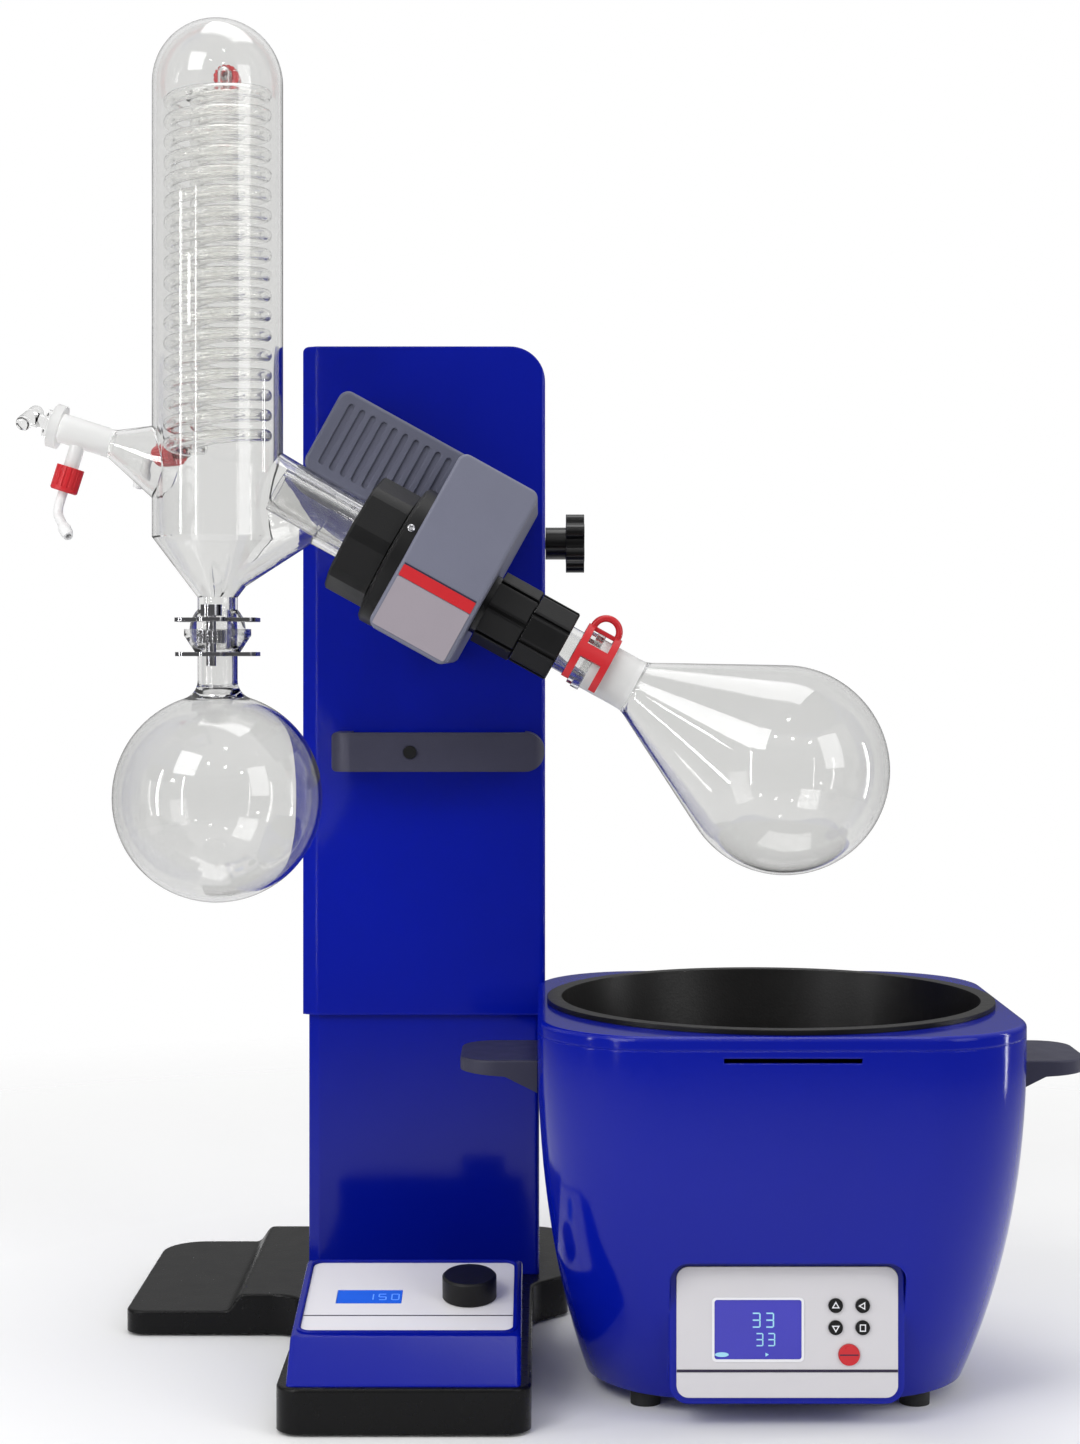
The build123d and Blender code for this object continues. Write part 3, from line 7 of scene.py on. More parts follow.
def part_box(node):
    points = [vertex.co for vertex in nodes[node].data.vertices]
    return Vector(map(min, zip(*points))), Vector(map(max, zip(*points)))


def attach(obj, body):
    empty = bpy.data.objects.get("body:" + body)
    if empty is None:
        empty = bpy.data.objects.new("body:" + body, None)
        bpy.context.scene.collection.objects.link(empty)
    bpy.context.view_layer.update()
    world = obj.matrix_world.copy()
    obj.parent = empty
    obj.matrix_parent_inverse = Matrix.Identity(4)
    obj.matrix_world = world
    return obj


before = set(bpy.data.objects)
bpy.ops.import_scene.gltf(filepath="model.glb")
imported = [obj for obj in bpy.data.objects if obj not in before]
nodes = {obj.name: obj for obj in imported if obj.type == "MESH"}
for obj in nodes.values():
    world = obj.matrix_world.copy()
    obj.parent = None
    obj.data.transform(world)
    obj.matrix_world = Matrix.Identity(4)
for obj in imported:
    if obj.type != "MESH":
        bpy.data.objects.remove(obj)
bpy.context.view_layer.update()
scene = bpy.context.scene
MM = 0.001


# Frames of the part, with places in millimetres

def place(origin_mm, x_dir, y_dir):
    """Matrix of a frame from its origin in millimetres and two of its axes."""
    x = Vector(x_dir).normalized()
    y = Vector(y_dir).normalized()
    z = x.cross(y)
    matrix = Matrix((x, y, z)).transposed().to_4x4()
    matrix.translation = Vector(origin_mm) * MM
    return matrix


def front_face(x, y, z):
    """Frame on a wall that faces the front, with x to the right and y up."""
    return place((x, y, z), (1, 0, 0), (0, 0, 1))


def back_face(x, y, z):
    """Frame on a wall that faces the back, with x to the right of someone behind the part and y up."""
    return place((x, y, z), (-1, 0, 0), (0, 0, 1))


def box_mm(node_name):
    """Lowest and highest corner of a node's box in millimetres."""
    return [Vector(corner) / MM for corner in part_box(node_name)]


DRIVE_TILT = math.radians(29.0)
DRIVE_DIR = Vector((math.cos(DRIVE_TILT), 0.0, -math.sin(DRIVE_TILT)))
DRIVE_UP = Vector((math.sin(DRIVE_TILT), 0.0, math.cos(DRIVE_TILT)))
DRIVE_ORIGIN = Vector((-122.0, -60.0, 527.4))
HOUSING_HALF_DEPTH = 48.0
HOUSING_FRONT = place(DRIVE_ORIGIN - Vector((0, HOUSING_HALF_DEPTH, 0)), DRIVE_DIR, DRIVE_UP)

VALVE_LEAN = math.radians(17.6)
VALVE_DIR = Vector((-math.cos(VALVE_LEAN), 0.0, math.sin(VALVE_LEAN)))
VALVE_ORIGIN = Vector((-208.0, -60.0, 561.6))
LEFT = Vector((-1.0, 0.0, 0.0))

COLUMN_X = -84.0
CONSOLE_MIDDLE = (COLUMN_X, -108.5, 59.0)
CONSOLE_SLOPE = (0, 109, 18)
CONSOLE = place(CONSOLE_MIDDLE, (1, 0, 0), CONSOLE_SLOPE)
SLEEVE_BACK_Y = 172.0
SLEEVE_BACK = back_face(COLUMN_X, SLEEVE_BACK_Y, 0.0)
COLUMN_BACK = back_face(COLUMN_X, box_mm("inner_column")[1].y, 0.0)

FASCIA_OFFSET = 1.0
fascia_low, fascia_high = box_mm("bath_panel")
FASCIA = front_face((fascia_low.x + fascia_high.x) / 2 + FASCIA_OFFSET, fascia_low.y, 0.0)


# Shader nodes

def srgb(red, green, blue):
    """Linear colour from 0 to 255 screen values, by the sRGB curve."""
    def linear(value):
        value = value / 255
        return value / 12.92 if value <= 0.04045 else ((value + 0.055) / 1.055) ** 2.4
    return (linear(red), linear(green), linear(blue), 1.0)


def shade(colour, share):
    """The colour made lighter or darker by a share."""
    return tuple(min(1.0, c * share) for c in colour[:3]) + (1.0,)


def start(name):
    """New material with its node tree and its main shader."""
    material = bpy.data.materials.new(name)
    material.use_nodes = True
    return material, material.node_tree, material.node_tree.nodes["Principled BSDF"]


def add(tree, kind, **settings):
    """New node with its settings."""
    made = tree.nodes.new(kind)
    for key, value in settings.items():
        setattr(made, key, value)
    return made


def fill(socket, value):
    """Gives a socket a constant value or links another socket to it."""
    if isinstance(value, (int, float, tuple, Vector)):
        socket.default_value = value
    else:
        socket.id_data.links.new(value, socket)


def fill_inputs(node, values):
    """Fills sockets of a node by their names."""
    for key, value in values.items():
        fill(node.inputs[key], value)


def spot(tree, stretch=None):
    """Place on the surface in metres, stretched where a pattern has a direction."""
    source = add(tree, "ShaderNodeTexCoord").outputs["Object"]
    if stretch is None:
        return source
    mapping = add(tree, "ShaderNodeMapping")
    fill_inputs(mapping, {"Vector": source, "Scale": stretch})
    return mapping.outputs["Vector"]


def noise(tree, scale, detail=3.0, stretch=None):
    """Noise whose features are about 1 / scale metres across."""
    made = add(tree, "ShaderNodeTexNoise")
    fill_inputs(made, {"Vector": spot(tree, stretch), "Scale": scale, "Detail": detail})
    return made.outputs["Fac"]


def spread(tree, source, low, high, start_at=0.2, end_at=0.8):
    """The source stretched to a range."""
    made = add(tree, "ShaderNodeMapRange")
    for socket, value in zip(made.inputs, (source, start_at, end_at, low, high)):
        fill(socket, value)
    return made.outputs[0]


def math_node(tree, operation, first, second):
    """Math node between sockets or numbers."""
    made = add(tree, "ShaderNodeMath", operation=operation)
    for socket, value in zip(made.inputs, (first, second)):
        fill(socket, value)
    return made.outputs[0]


def dot_product(tree, first, second):
    """Dot product of two vectors."""
    made = add(tree, "ShaderNodeVectorMath", operation="DOT_PRODUCT")
    for socket, value in zip(made.inputs, (first, second)):
        fill(socket, value)
    return made.outputs["Value"]


def blend_values(tree, factor, first, second):
    """Number between two."""
    made = add(tree, "ShaderNodeMix")
    for index, value in ((0, factor), (2, first), (3, second)):
        fill(made.inputs[index], value)
    return made.outputs[0]


def blend_colours(tree, factor, first, second):
    """Colour between two, either of which may be a socket."""
    made = add(tree, "ShaderNodeMix", data_type="RGBA")
    for index, value in ((0, factor), (6, first), (7, second)):
        fill(made.inputs[index], value)
    return made.outputs[2]


def blend_shaders(tree, factor, first, second, output_name="Material Output"):
    """Puts a mix of two shaders on the output."""
    mix = add(tree, "ShaderNodeMixShader")
    for socket, value in zip(mix.inputs, (factor, first.outputs[0], second.outputs[0])):
        fill(socket, value)
    fill(tree.nodes[output_name].inputs["Surface"], mix.outputs[0])


def bumped(tree, height, strength, distance, normal=None):
    """Normal of a surface that a height raises."""
    bump = add(tree, "ShaderNodeBump")
    fill_inputs(bump, {"Height": height, "Strength": strength, "Distance": distance})
    if normal is not None:
        fill(bump.inputs["Normal"], normal)
    return bump.outputs["Normal"]


EDGE_SAMPLES = 4
EDGE_TURNED = 0.86
EDGE_FLAT = 0.99


def soft_edges(tree, radius):
    """Normal that turns smoothly over sharp edges, and a mask of those edges."""
    bevel = add(tree, "ShaderNodeBevel", samples=EDGE_SAMPLES)
    fill(bevel.inputs["Radius"], radius)
    geometry = add(tree, "ShaderNodeNewGeometry")
    straightness = dot_product(tree, bevel.outputs["Normal"], geometry.outputs["Normal"])
    mask = spread(tree, straightness, 1.0, 0.0, EDGE_TURNED, EDGE_FLAT)
    return bevel.outputs["Normal"], mask


def along(tree, origin_mm, direction):
    """Distance in metres along a direction from a point."""
    offset = Vector(origin_mm).dot(direction) * MM
    return math_node(tree, "SUBTRACT", dot_product(tree, spot(tree), direction), offset)


def band(tree, distance, low_mm, high_mm, soft_mm=0.6):
    """1 between two distances and 0 outside them."""
    rise = spread(tree, distance, 0.0, 1.0, (low_mm - soft_mm) * MM, (low_mm + soft_mm) * MM)
    fall = spread(tree, distance, 1.0, 0.0, (high_mm - soft_mm) * MM, (high_mm + soft_mm) * MM)
    return math_node(tree, "MULTIPLY", rise, fall)


# Kinds of material

GRAIN_HEIGHT = 0.4 * MM
GLOSS_SWING = 0.14
GLOSS_FINER = 5
# Noise of the lighter edges, which are partly rubbing wear and partly a painted highlight
RUB_AND_GLINT_SCALE = 90.0
RUB_AND_GLINT_LEAST = 0.25


def surface(name, colour, rough, vary=0.06, patch=14.0, grain=700.0, depth=0.15, edge=0.8, edge_wear_and_glint=1.25,
            metallic=0.0, specular=0.5, stretch=None):
    """Opaque finish: patchy colour, uneven gloss, a fine grain, and edges painted lighter, partly as rubbing
    wear and partly as a painted highlight along them.

    patch and grain are scales of noise, depth is the grain's strength and edge a radius in millimetres.
    """
    material, tree, shader = start(name)
    normal, edges = soft_edges(tree, edge * MM)
    patches = spread(tree, noise(tree, patch, detail=4.0, stretch=stretch), 0.0, 1.0)
    base = blend_colours(tree, patches, shade(colour, 1 - vary), shade(colour, 1 + vary))
    # Edges painted lighter: partly rubbing wear, partly a painted highlight along the edges
    rub_and_glint = math_node(tree, "MULTIPLY", edges, spread(tree, noise(tree, RUB_AND_GLINT_SCALE), RUB_AND_GLINT_LEAST, 1.0))
    gloss = noise(tree, patch * GLOSS_FINER, detail=5.0, stretch=stretch)
    height = noise(tree, grain, detail=2.0, stretch=stretch)
    fill_inputs(shader, {
        "Base Color": blend_colours(tree, rub_and_glint, base, shade(colour, edge_wear_and_glint)),
        "Roughness": spread(tree, gloss, rough * (1 - GLOSS_SWING), rough * (1 + GLOSS_SWING)),
        "Normal": bumped(tree, height, depth, GRAIN_HEIGHT, normal),
        "Metallic": metallic,
        "Specular IOR Level": specular,
    })
    return material


GLASS_IOR = 1.47
GLASS_SPECULAR = 0.38
GLASS_ROUGHEST = 0.012
SMEAR_SCALE = 25.0
TINT_SCALE = 9.0
GLASS_BLUE_SHARE = 0.992
GLASS_TINT_SWING = 0.03
DRAW_SCALE = 55.0
DRAW_STRENGTH = 0.05
DRAW_HEIGHT = 0.6 * MM
FROST_TINT = (0.7, 0.7, 0.695, 1)
FROST_SMOOTHEST, FROST_ROUGHEST = 0.42, 0.6
FROST_GRIT_SCALE = 1500.0
FROST_TRANSMISSION = 0.45


def glass(name, tone, frost=None):
    """Clear glass with a slight draw, which lets lamps through, and a ground band where frost says.

    frost is the origin and direction of an axis, the band's two ends along it, and the x that it stays left of.
    """
    material, tree, shader = start(name)
    rough = spread(tree, noise(tree, SMEAR_SCALE, detail=2.0), 0.0, GLASS_ROUGHEST)
    darker = (tone, tone, tone * GLASS_BLUE_SHARE)
    lighter = tuple(share + GLASS_TINT_SWING for share in darker)
    patches = spread(tree, noise(tree, TINT_SCALE), 0.0, 1.0)
    tint = blend_colours(tree, patches, (*darker, 1), (*lighter, 1))
    transmission = 1.0
    if frost is not None:
        origin, direction, low, high, right_limit = frost
        ground = band(tree, along(tree, origin, direction), low, high)
        beyond = spread(tree, along(tree, (right_limit, 0.0, 0.0), LEFT), 0.0, 1.0, 0.0, MM)
        ground = math_node(tree, "MULTIPLY", ground, beyond)
        grit = spread(tree, noise(tree, FROST_GRIT_SCALE, detail=2.0), FROST_SMOOTHEST, FROST_ROUGHEST)
        rough = blend_values(tree, ground, rough, grit)
        tint = blend_colours(tree, ground, tint, FROST_TINT)
        transmission = spread(tree, ground, 1.0, FROST_TRANSMISSION, 0.0, 1.0)
    height = noise(tree, DRAW_SCALE, detail=1.0)
    fill_inputs(shader, {
        "Base Color": tint,
        "Roughness": rough,
        "Normal": bumped(tree, height, DRAW_STRENGTH, DRAW_HEIGHT),
        "Transmission Weight": transmission,
        "IOR": GLASS_IOR,
        "Specular IOR Level": GLASS_SPECULAR,
    })
    shadow_ray = add(tree, "ShaderNodeLightPath").outputs["Is Shadow Ray"]
    blend_shaders(tree, shadow_ray, shader, add(tree, "ShaderNodeBsdfTransparent"))
    return material


DISPLAY_CELL_SCALE = 1600.0
DISPLAY_PATCH_SCALE = 30.0
DISPLAY_DARK, DISPLAY_BRIGHT, DISPLAY_CELL = 0.9, 1.08, 0.94
DISPLAY_ROUGH = 0.2


def lit_display(name, colour, glow):
    """Backlit display with uneven light and a fine grid of cells."""
    material, tree, shader = start(name)
    cells = add(tree, "ShaderNodeTexChecker")
    fill_inputs(cells, {"Vector": spot(tree), "Scale": DISPLAY_CELL_SCALE})
    patches = spread(tree, noise(tree, DISPLAY_PATCH_SCALE, detail=1.0), 0.0, 1.0)
    light = blend_colours(tree, patches, shade(colour, DISPLAY_DARK), shade(colour, DISPLAY_BRIGHT))
    light = blend_colours(tree, cells.outputs["Fac"], light, shade(colour, DISPLAY_CELL))
    fill_inputs(shader, {"Base Color": light, "Emission Color": light, "Emission Strength": glow,
                         "Roughness": DISPLAY_ROUGH})
    return material


# Materials of the part

blue_paint = surface("blue_paint", srgb(4, 20, 142), rough=0.11, vary=0.08, patch=6.0, grain=420.0,
                     depth=0.05, edge=1.8, edge_wear_and_glint=1.5, specular=0.25)
casting = surface("black_casting", srgb(8, 8, 9), rough=0.28, vary=0.12, grain=520.0, depth=0.16,
                  edge=1.2, edge_wear_and_glint=2.0, specular=0.18)
grey_plastic = surface("grey_plastic", srgb(106, 108, 125), rough=0.48, vary=0.05, grain=1100.0,
                       depth=0.22, edge_wear_and_glint=1.3)
# The housing's grey plastic made darker on the motor cover: painted shade for the shade among its ribs
cover_painted_shade_grey = surface("cover_painted_shade_grey", srgb(86, 88, 105), rough=0.48, vary=0.05, grain=1100.0,
                     depth=0.22, edge_wear_and_glint=1.3, specular=0.35)
handle_grey = surface("handle_grey", srgb(50, 50, 68), rough=0.46, vary=0.05, grain=1100.0,
                      depth=0.2, edge_wear_and_glint=1.3, specular=0.3)
plate_grey = surface("plate_grey", srgb(150, 142, 150), rough=0.45, vary=0.04, grain=900.0,
                     depth=0.1, edge=0.2, edge_wear_and_glint=1.1)
black_plastic = surface("black_plastic", srgb(15, 15, 16), rough=0.42, vary=0.1, grain=950.0,
                        depth=0.2, edge_wear_and_glint=1.8, specular=0.25)
gloss_black = surface("gloss_black", srgb(10, 10, 11), rough=0.2, vary=0.08, grain=300.0,
                      depth=0.05, edge_wear_and_glint=1.8, specular=0.35)
red_plastic = surface("red_plastic", srgb(192, 36, 43), rough=0.3, vary=0.07, grain=600.0,
                      depth=0.12, edge=0.4, edge_wear_and_glint=1.15, specular=0.35)
console_film = surface("console_film", srgb(236, 234, 236), rough=0.4, vary=0.02, grain=1300.0,
                       depth=0.12, edge=0.4, edge_wear_and_glint=1.04)
fascia_film = surface("fascia_film", srgb(204, 202, 205), rough=0.4, vary=0.02, grain=1300.0,
                      depth=0.12, edge=0.4, edge_wear_and_glint=1.06)
white_plastic = surface("white_plastic", srgb(226, 226, 226), rough=0.42, vary=0.03, grain=700.0,
                        depth=0.1, edge=0.3, edge_wear_and_glint=1.05)
line_print = surface("line_print", srgb(34, 24, 52), rough=0.5, vary=0.1, grain=900.0,
                     depth=0.1, edge=0.1, edge_wear_and_glint=1.1)
pale_print = surface("pale_print", srgb(228, 228, 232), rough=0.5, vary=0.03, grain=900.0,
                     depth=0.1, edge=0.1, edge_wear_and_glint=1.0)
chrome = surface("chrome", srgb(180, 180, 184), rough=0.12, vary=0.05, grain=160.0, depth=0.03,
                 edge=0.4, edge_wear_and_glint=1.1, metallic=1.0)
steel = surface("steel", srgb(170, 170, 174), rough=0.3, vary=0.08, grain=260.0, depth=0.12,
                edge=0.4, edge_wear_and_glint=1.15, metallic=1.0, stretch=(1.0, 1.0, 0.04))
aluminium = surface("aluminium", srgb(178, 180, 184), rough=0.36, vary=0.07, grain=300.0, depth=0.15,
                    edge=0.4, edge_wear_and_glint=1.15, metallic=1.0, stretch=(0.05, 1.0, 1.0))
rubber = surface("rubber", srgb(26, 26, 26), rough=0.75, vary=0.12, grain=800.0, depth=0.3, edge_wear_and_glint=1.3)
seal_white = surface("seal_white", srgb(214, 212, 205), rough=0.5, vary=0.04, grain=500.0,
                     depth=0.1, edge=0.3, edge_wear_and_glint=1.05)
board_green = surface("board_green", srgb(22, 92, 48), rough=0.4, vary=0.15, patch=120.0, grain=800.0,
                      depth=0.2, edge=0.2)
bronze = surface("bronze", srgb(150, 112, 62), rough=0.35, vary=0.1, grain=400.0, depth=0.15,
                 edge=0.4, metallic=1.0)
bowl_coating = surface("bowl_coating", srgb(12, 11, 11), rough=0.36, vary=0.12, patch=40.0, grain=650.0,
                       depth=0.2, edge_wear_and_glint=1.5, specular=0.28)

FLASK_GROUND = (DRIVE_ORIGIN, DRIVE_DIR, 171.0, 201.0, 400.0)
BARREL_GROUND = (VALVE_ORIGIN, VALVE_DIR, 70.0, 112.0, -260.0)
clear_glass = glass("clear_glass", tone=0.8)
coil_glass = glass("coil_glass", tone=0.97)
flask_glass = glass("flask_glass", tone=0.8, frost=FLASK_GROUND)
jacket_glass = glass("jacket_glass", tone=0.82, frost=BARREL_GROUND)

bath_lcd = lit_display("bath_lcd", srgb(50, 47, 160), glow=0.25)
console_lcd = lit_display("console_lcd", srgb(38, 98, 218), glow=0.22)
digit_glow = lit_display("digit_glow", srgb(140, 190, 210), glow=0.35)
digit_faint = lit_display("digit_faint", srgb(96, 152, 246), glow=0.4)

FINISHES = {
    blue_paint: ("console_shell", "inner_column", "lift_sleeve", "bath_shell", "bath_rim"),
    casting: ("base_casting", "pivot_flange"),
    grey_plastic: ("drive_housing",),
    cover_painted_shade_grey: ("motor_cover",),
    handle_grey: ("lift_handle", "bath_handles"),
    black_plastic: ("speed_knob", "release_button", "coupling_flange", "condenser_nut", "flask_clamp_nut",
                    "ejector_collar", "power_inlet", "bath_inlet", "key_upper_left", "key_upper_right",
                    "key_lower_left", "key_lower_right"),
    gloss_black: ("tilt_lock_knob", "gas_spring_cylinder", "rotor_hub"),
    red_plastic: ("flask_clip", "hose_caps", "bath_switch"),
    console_film: ("console_panel",),
    fascia_film: ("bath_panel",),
    white_plastic: ("hose_nozzles",),
    chrome: ("clamp_forks", "clamp_screw", "gas_spring_rod"),
    steel: ("guide_rods", "tilt_lock_stud", "pivot_shaft", "motor_pulley", "hub_bearings"),
    aluminium: ("carriage_block", "drive_motor", "driven_pulley", "bath_heater"),
    rubber: ("base_feet", "bath_feet", "drive_belt"),
    seal_white: ("shaft_seal",),
    board_green: ("control_board",),
    bronze: ("slide_bushings",),
    bowl_coating: ("bath_bowl",),
    clear_glass: ("vapour_tube", "receiving_flask", "valve_key"),
    coil_glass: ("condenser_coil",),
    flask_glass: ("evaporating_flask",),
    jacket_glass: ("condenser_jacket",),
    bath_lcd: ("bath_display",),
    console_lcd: ("speed_display",),
}
for material, names in FINISHES.items():
    for name in names:
        for slot in nodes[name].material_slots:
            slot.link = "OBJECT"
            slot.material = material


# Outlines and meshes of the trim, in millimetres

def on_circle(x, y, radius, angle):
    """Point on a circle at an angle in radians."""
    return x + radius * math.cos(angle), y + radius * math.sin(angle)


def disc_outline(x, y, radius, steps=40):
    """Round outline."""
    return [on_circle(x, y, radius, math.tau * i / steps) for i in range(steps)]


def triangle(x, y, radius, turn):
    """Outline of a triangle that points to a turn in degrees."""
    return [on_circle(x, y, radius, math.radians(turn + 120 * i)) for i in range(3)]


def box_outline(x, y, width, height, corner=0.0, steps=6):
    """Outline of a rectangle about its middle, with round corners where corner is their radius."""
    points = []
    for turn, sx, sy in ((180, -1, -1), (270, 1, -1), (0, 1, 1), (90, -1, 1)):
        cx = x + sx * (width / 2 - corner)
        cy = y + sy * (height / 2 - corner)
        if corner <= 0:
            points.append((cx, cy))
        else:
            points += [on_circle(cx, cy, corner, math.radians(turn + 90 * i / steps)) for i in range(steps + 1)]
    return points


def bridge(work, first, second):
    """Faces between two closed loops of vertices."""
    count = len(first)
    for i in range(count):
        j = (i + 1) % count
        work.faces.new((first[i], first[j], second[j], second[i]))


def loop(work, outline, z):
    """Vertices of an outline at a height."""
    return [work.verts.new((x, y, z)) for x, y in outline]


def prism(work, outline, low, high, bevel=0.0):
    """Solid between two heights over a flat outline."""
    below = loop(work, outline, low)
    above = loop(work, outline, high)
    work.faces.new(list(reversed(below)))
    top = work.faces.new(above)
    bridge(work, below, above)
    if bevel > 0:
        bmesh.ops.bevel(work, geom=list(top.edges), offset=bevel, segments=2, affect="EDGES", profile=0.5)


def ring(work, outer, inner, low, high):
    """Solid band between two outlines with the same number of points."""
    rows = [loop(work, *row) for row in ((outer, low), (outer, high), (inner, high), (inner, low))]
    for first, second in zip(rows, rows[1:] + rows[:1]):
        bridge(work, first, second)


# Bars of a figure: place of the lower left end as shares of width and height, and whether the bar lies flat
BARS = {
    "a": (0.0, 1.0, True), "b": (1.0, 0.5, False), "c": (1.0, 0.0, False), "d": (0.0, 0.0, True),
    "e": (0.0, 0.0, False), "f": (0.0, 0.5, False), "g": (0.0, 0.5, True)}
FIGURES = {"3": "abcdg", "0": "abcdef", "1": "bc", "5": "acdfg"}
FIGURE_WIDTH, FIGURE_STEP, BAR_WIDTH = 0.54, 0.98, 0.1
BAR_GAP = 0.4


def figures(work, text, x, y, height, low, high):
    """Seven-bar figures whose lower left corner is at x, y."""
    width = height * FIGURE_WIDTH
    bar = height * BAR_WIDTH
    gap = bar * BAR_GAP
    for index, letter in enumerate(text):
        left = x + index * height * FIGURE_STEP
        for key in FIGURES[letter]:
            sx, sy, flat = BARS[key]
            if flat:
                outline = box_outline(left + width / 2, y + sy * height, width - gap, bar)
            else:
                outline = box_outline(left + sx * width, y + (sy + 0.25) * height, bar, height / 2 - gap)
            prism(work, outline, low, high)


# Shares of a screw head's radius and height: its side and dome from the bottom up, and its hexagon socket
HEAD_PROFILE = ((1.0, 0.45), (0.86, 0.85), (0.64, 1.0))
SOCKET_RADIUS, SOCKET_FLOOR = 0.48, 0.35
HEAD_ROOT = 0.6
HEAD_STEPS = 24


def hexagon_outline(x, y, radius, steps):
    """Outline of a hexagon with points at even angles."""
    half_side = math.pi / 6
    points = []
    for i in range(steps):
        angle = math.tau * i / steps
        off_middle = angle % (2 * half_side) - half_side
        points.append(on_circle(x, y, radius * math.cos(half_side) / math.cos(off_middle), angle))
    return points


def screw_head(work, x, y, radius, proud):
    """Domed screw head with a hexagon socket, standing on z = 0."""
    rows = [(radius, -HEAD_ROOT)] + [(radius * wide, proud * tall) for wide, tall in HEAD_PROFILE]
    loops = [loop(work, disc_outline(x, y, wide, HEAD_STEPS), z) for wide, z in rows]
    socket = hexagon_outline(x, y, radius * SOCKET_RADIUS, HEAD_STEPS)
    loops += [loop(work, socket, z) for z in (proud, proud * SOCKET_FLOOR)]
    for first, second in zip(loops, loops[1:]):
        bridge(work, first, second)
    work.faces.new(loops[-1])
    work.faces.new(list(reversed(loops[0])))


# Pieces of trim

def add_piece(name, build, matrix, material, body):
    """New object from a mesh that build fills, with its finish and its body."""
    mesh = bpy.data.meshes.new(name)
    work = bmesh.new()
    build(work)
    bmesh.ops.recalc_face_normals(work, faces=work.faces)
    bmesh.ops.transform(work, matrix=matrix @ Matrix.Scale(MM, 4), verts=work.verts)
    work.to_mesh(mesh)
    work.free()
    piece = bpy.data.objects.new(name, mesh)
    scene.collection.objects.link(piece)
    piece.data.materials.append(material)
    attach(piece, body)


def add_plate(name, outline, low, high, matrix, material, body, bevel=0.0):
    """One thin plate."""
    add_piece(name, lambda work: prism(work, outline, low, high, bevel), matrix, material, body)


def add_ring(name, outer, inner, low, high, matrix, material, body):
    """One thin frame."""
    add_piece(name, lambda work: ring(work, outer, inner, low, high), matrix, material, body)


def add_screws(name, spots, radius, proud, matrix, material, body):
    """One piece with a screw head at each spot."""
    def build(work):
        for x, y in spots:
            screw_head(work, x, y, radius, proud)
    add_piece(name, build, matrix, material, body)


PLATE_SUNK = -0.3
PLATE_BEVEL = 0.1

# Drive housing: blank front plate with a plain red band and a line over it
HOUSING_PLATE_X, HOUSING_PLATE_WIDTH = 65.5, 50.0
for name, y, height, corner, proud, bevel, material, slot_name in (
        ("front_plate", -27.0, 33.0, 1.0, 0.4, PLATE_BEVEL, plate_grey, "grey_plastic"),
        ("front_band", -6.3, 7.6, 0.6, 0.45, PLATE_BEVEL, red_plastic, "red_plastic"),
        ("front_line", -1.9, 0.9, 0.0, 0.42, 0.0, line_print, "black_plastic")):
    outline = box_outline(HOUSING_PLATE_X, y, HOUSING_PLATE_WIDTH, height, corner)
    add_plate(name, outline, PLATE_SUNK, proud, HOUSING_FRONT, material, "head", bevel)

# Coupling flange: one screw in its rim
FLANGE_RADIUS = 47.0
FLANGE_SCREW_ALONG = 33.4
FLANGE_SCREW_RISE = 18.5
rim_turn = math.asin(FLANGE_SCREW_RISE / FLANGE_RADIUS)
out = -math.cos(rim_turn) * Vector((0, 1, 0)) + math.sin(rim_turn) * DRIVE_UP
FLANGE_RIM = place(DRIVE_ORIGIN + FLANGE_SCREW_ALONG * DRIVE_DIR + FLANGE_RADIUS * out,
                   DRIVE_DIR, out.cross(DRIVE_DIR))
add_screws("flange_screw", [(0.0, 0.0)], radius=2.6, proud=1.3,
           matrix=FLANGE_RIM, material=chrome, body="head")

# Console: raised lip round the fascia, dividing line and figures
add_ring("console_lip",
         outer=box_outline(0, 0, width=131.0, height=105.0, corner=8.5),
         inner=box_outline(0, 0, width=126.4, height=100.4, corner=6.2),
         low=-0.6, high=1.0, matrix=CONSOLE, material=blue_paint, body="stand")
add_plate("console_line", box_outline(0, -27.0, width=125.4, height=1.1),
          low=-0.7, high=-0.35, matrix=CONSOLE, material=line_print, body="stand")
add_piece("console_digits",
          lambda work: figures(work, "150", x=-27.0, y=-4.0, height=8.0, low=-0.9, high=-0.7),
          CONSOLE, digit_faint, "stand")

# Bath fascia: dividing line, display frame, figures, key signs and the groove of the switch
add_plate("bath_line", box_outline(-1.0, 34.6, width=128.3, height=1.6),
          low=PLATE_SUNK, high=0.25, matrix=FASCIA, material=line_print, body="bath")
DISPLAY_MIDDLE = (-18.0, 58.6)
add_ring("display_frame",
         outer=box_outline(*DISPLAY_MIDDLE, width=53.4, height=37.4, corner=2.6),
         inner=box_outline(*DISPLAY_MIDDLE, width=50.6, height=34.6, corner=1.6),
         low=PLATE_SUNK, high=0.4, matrix=FASCIA, material=pale_print, body="bath")

FIGURES_LOW, FIGURES_HIGH = -0.4, -0.15
OVAL_X, OVAL_HALF_WIDTH, OVAL_HALF_HEIGHT = -39.0, 4.0, 1.35
ARROW_X, ARROW_RADIUS = -13.0, 1.3
LOWEST_ROW_Z = 44.0


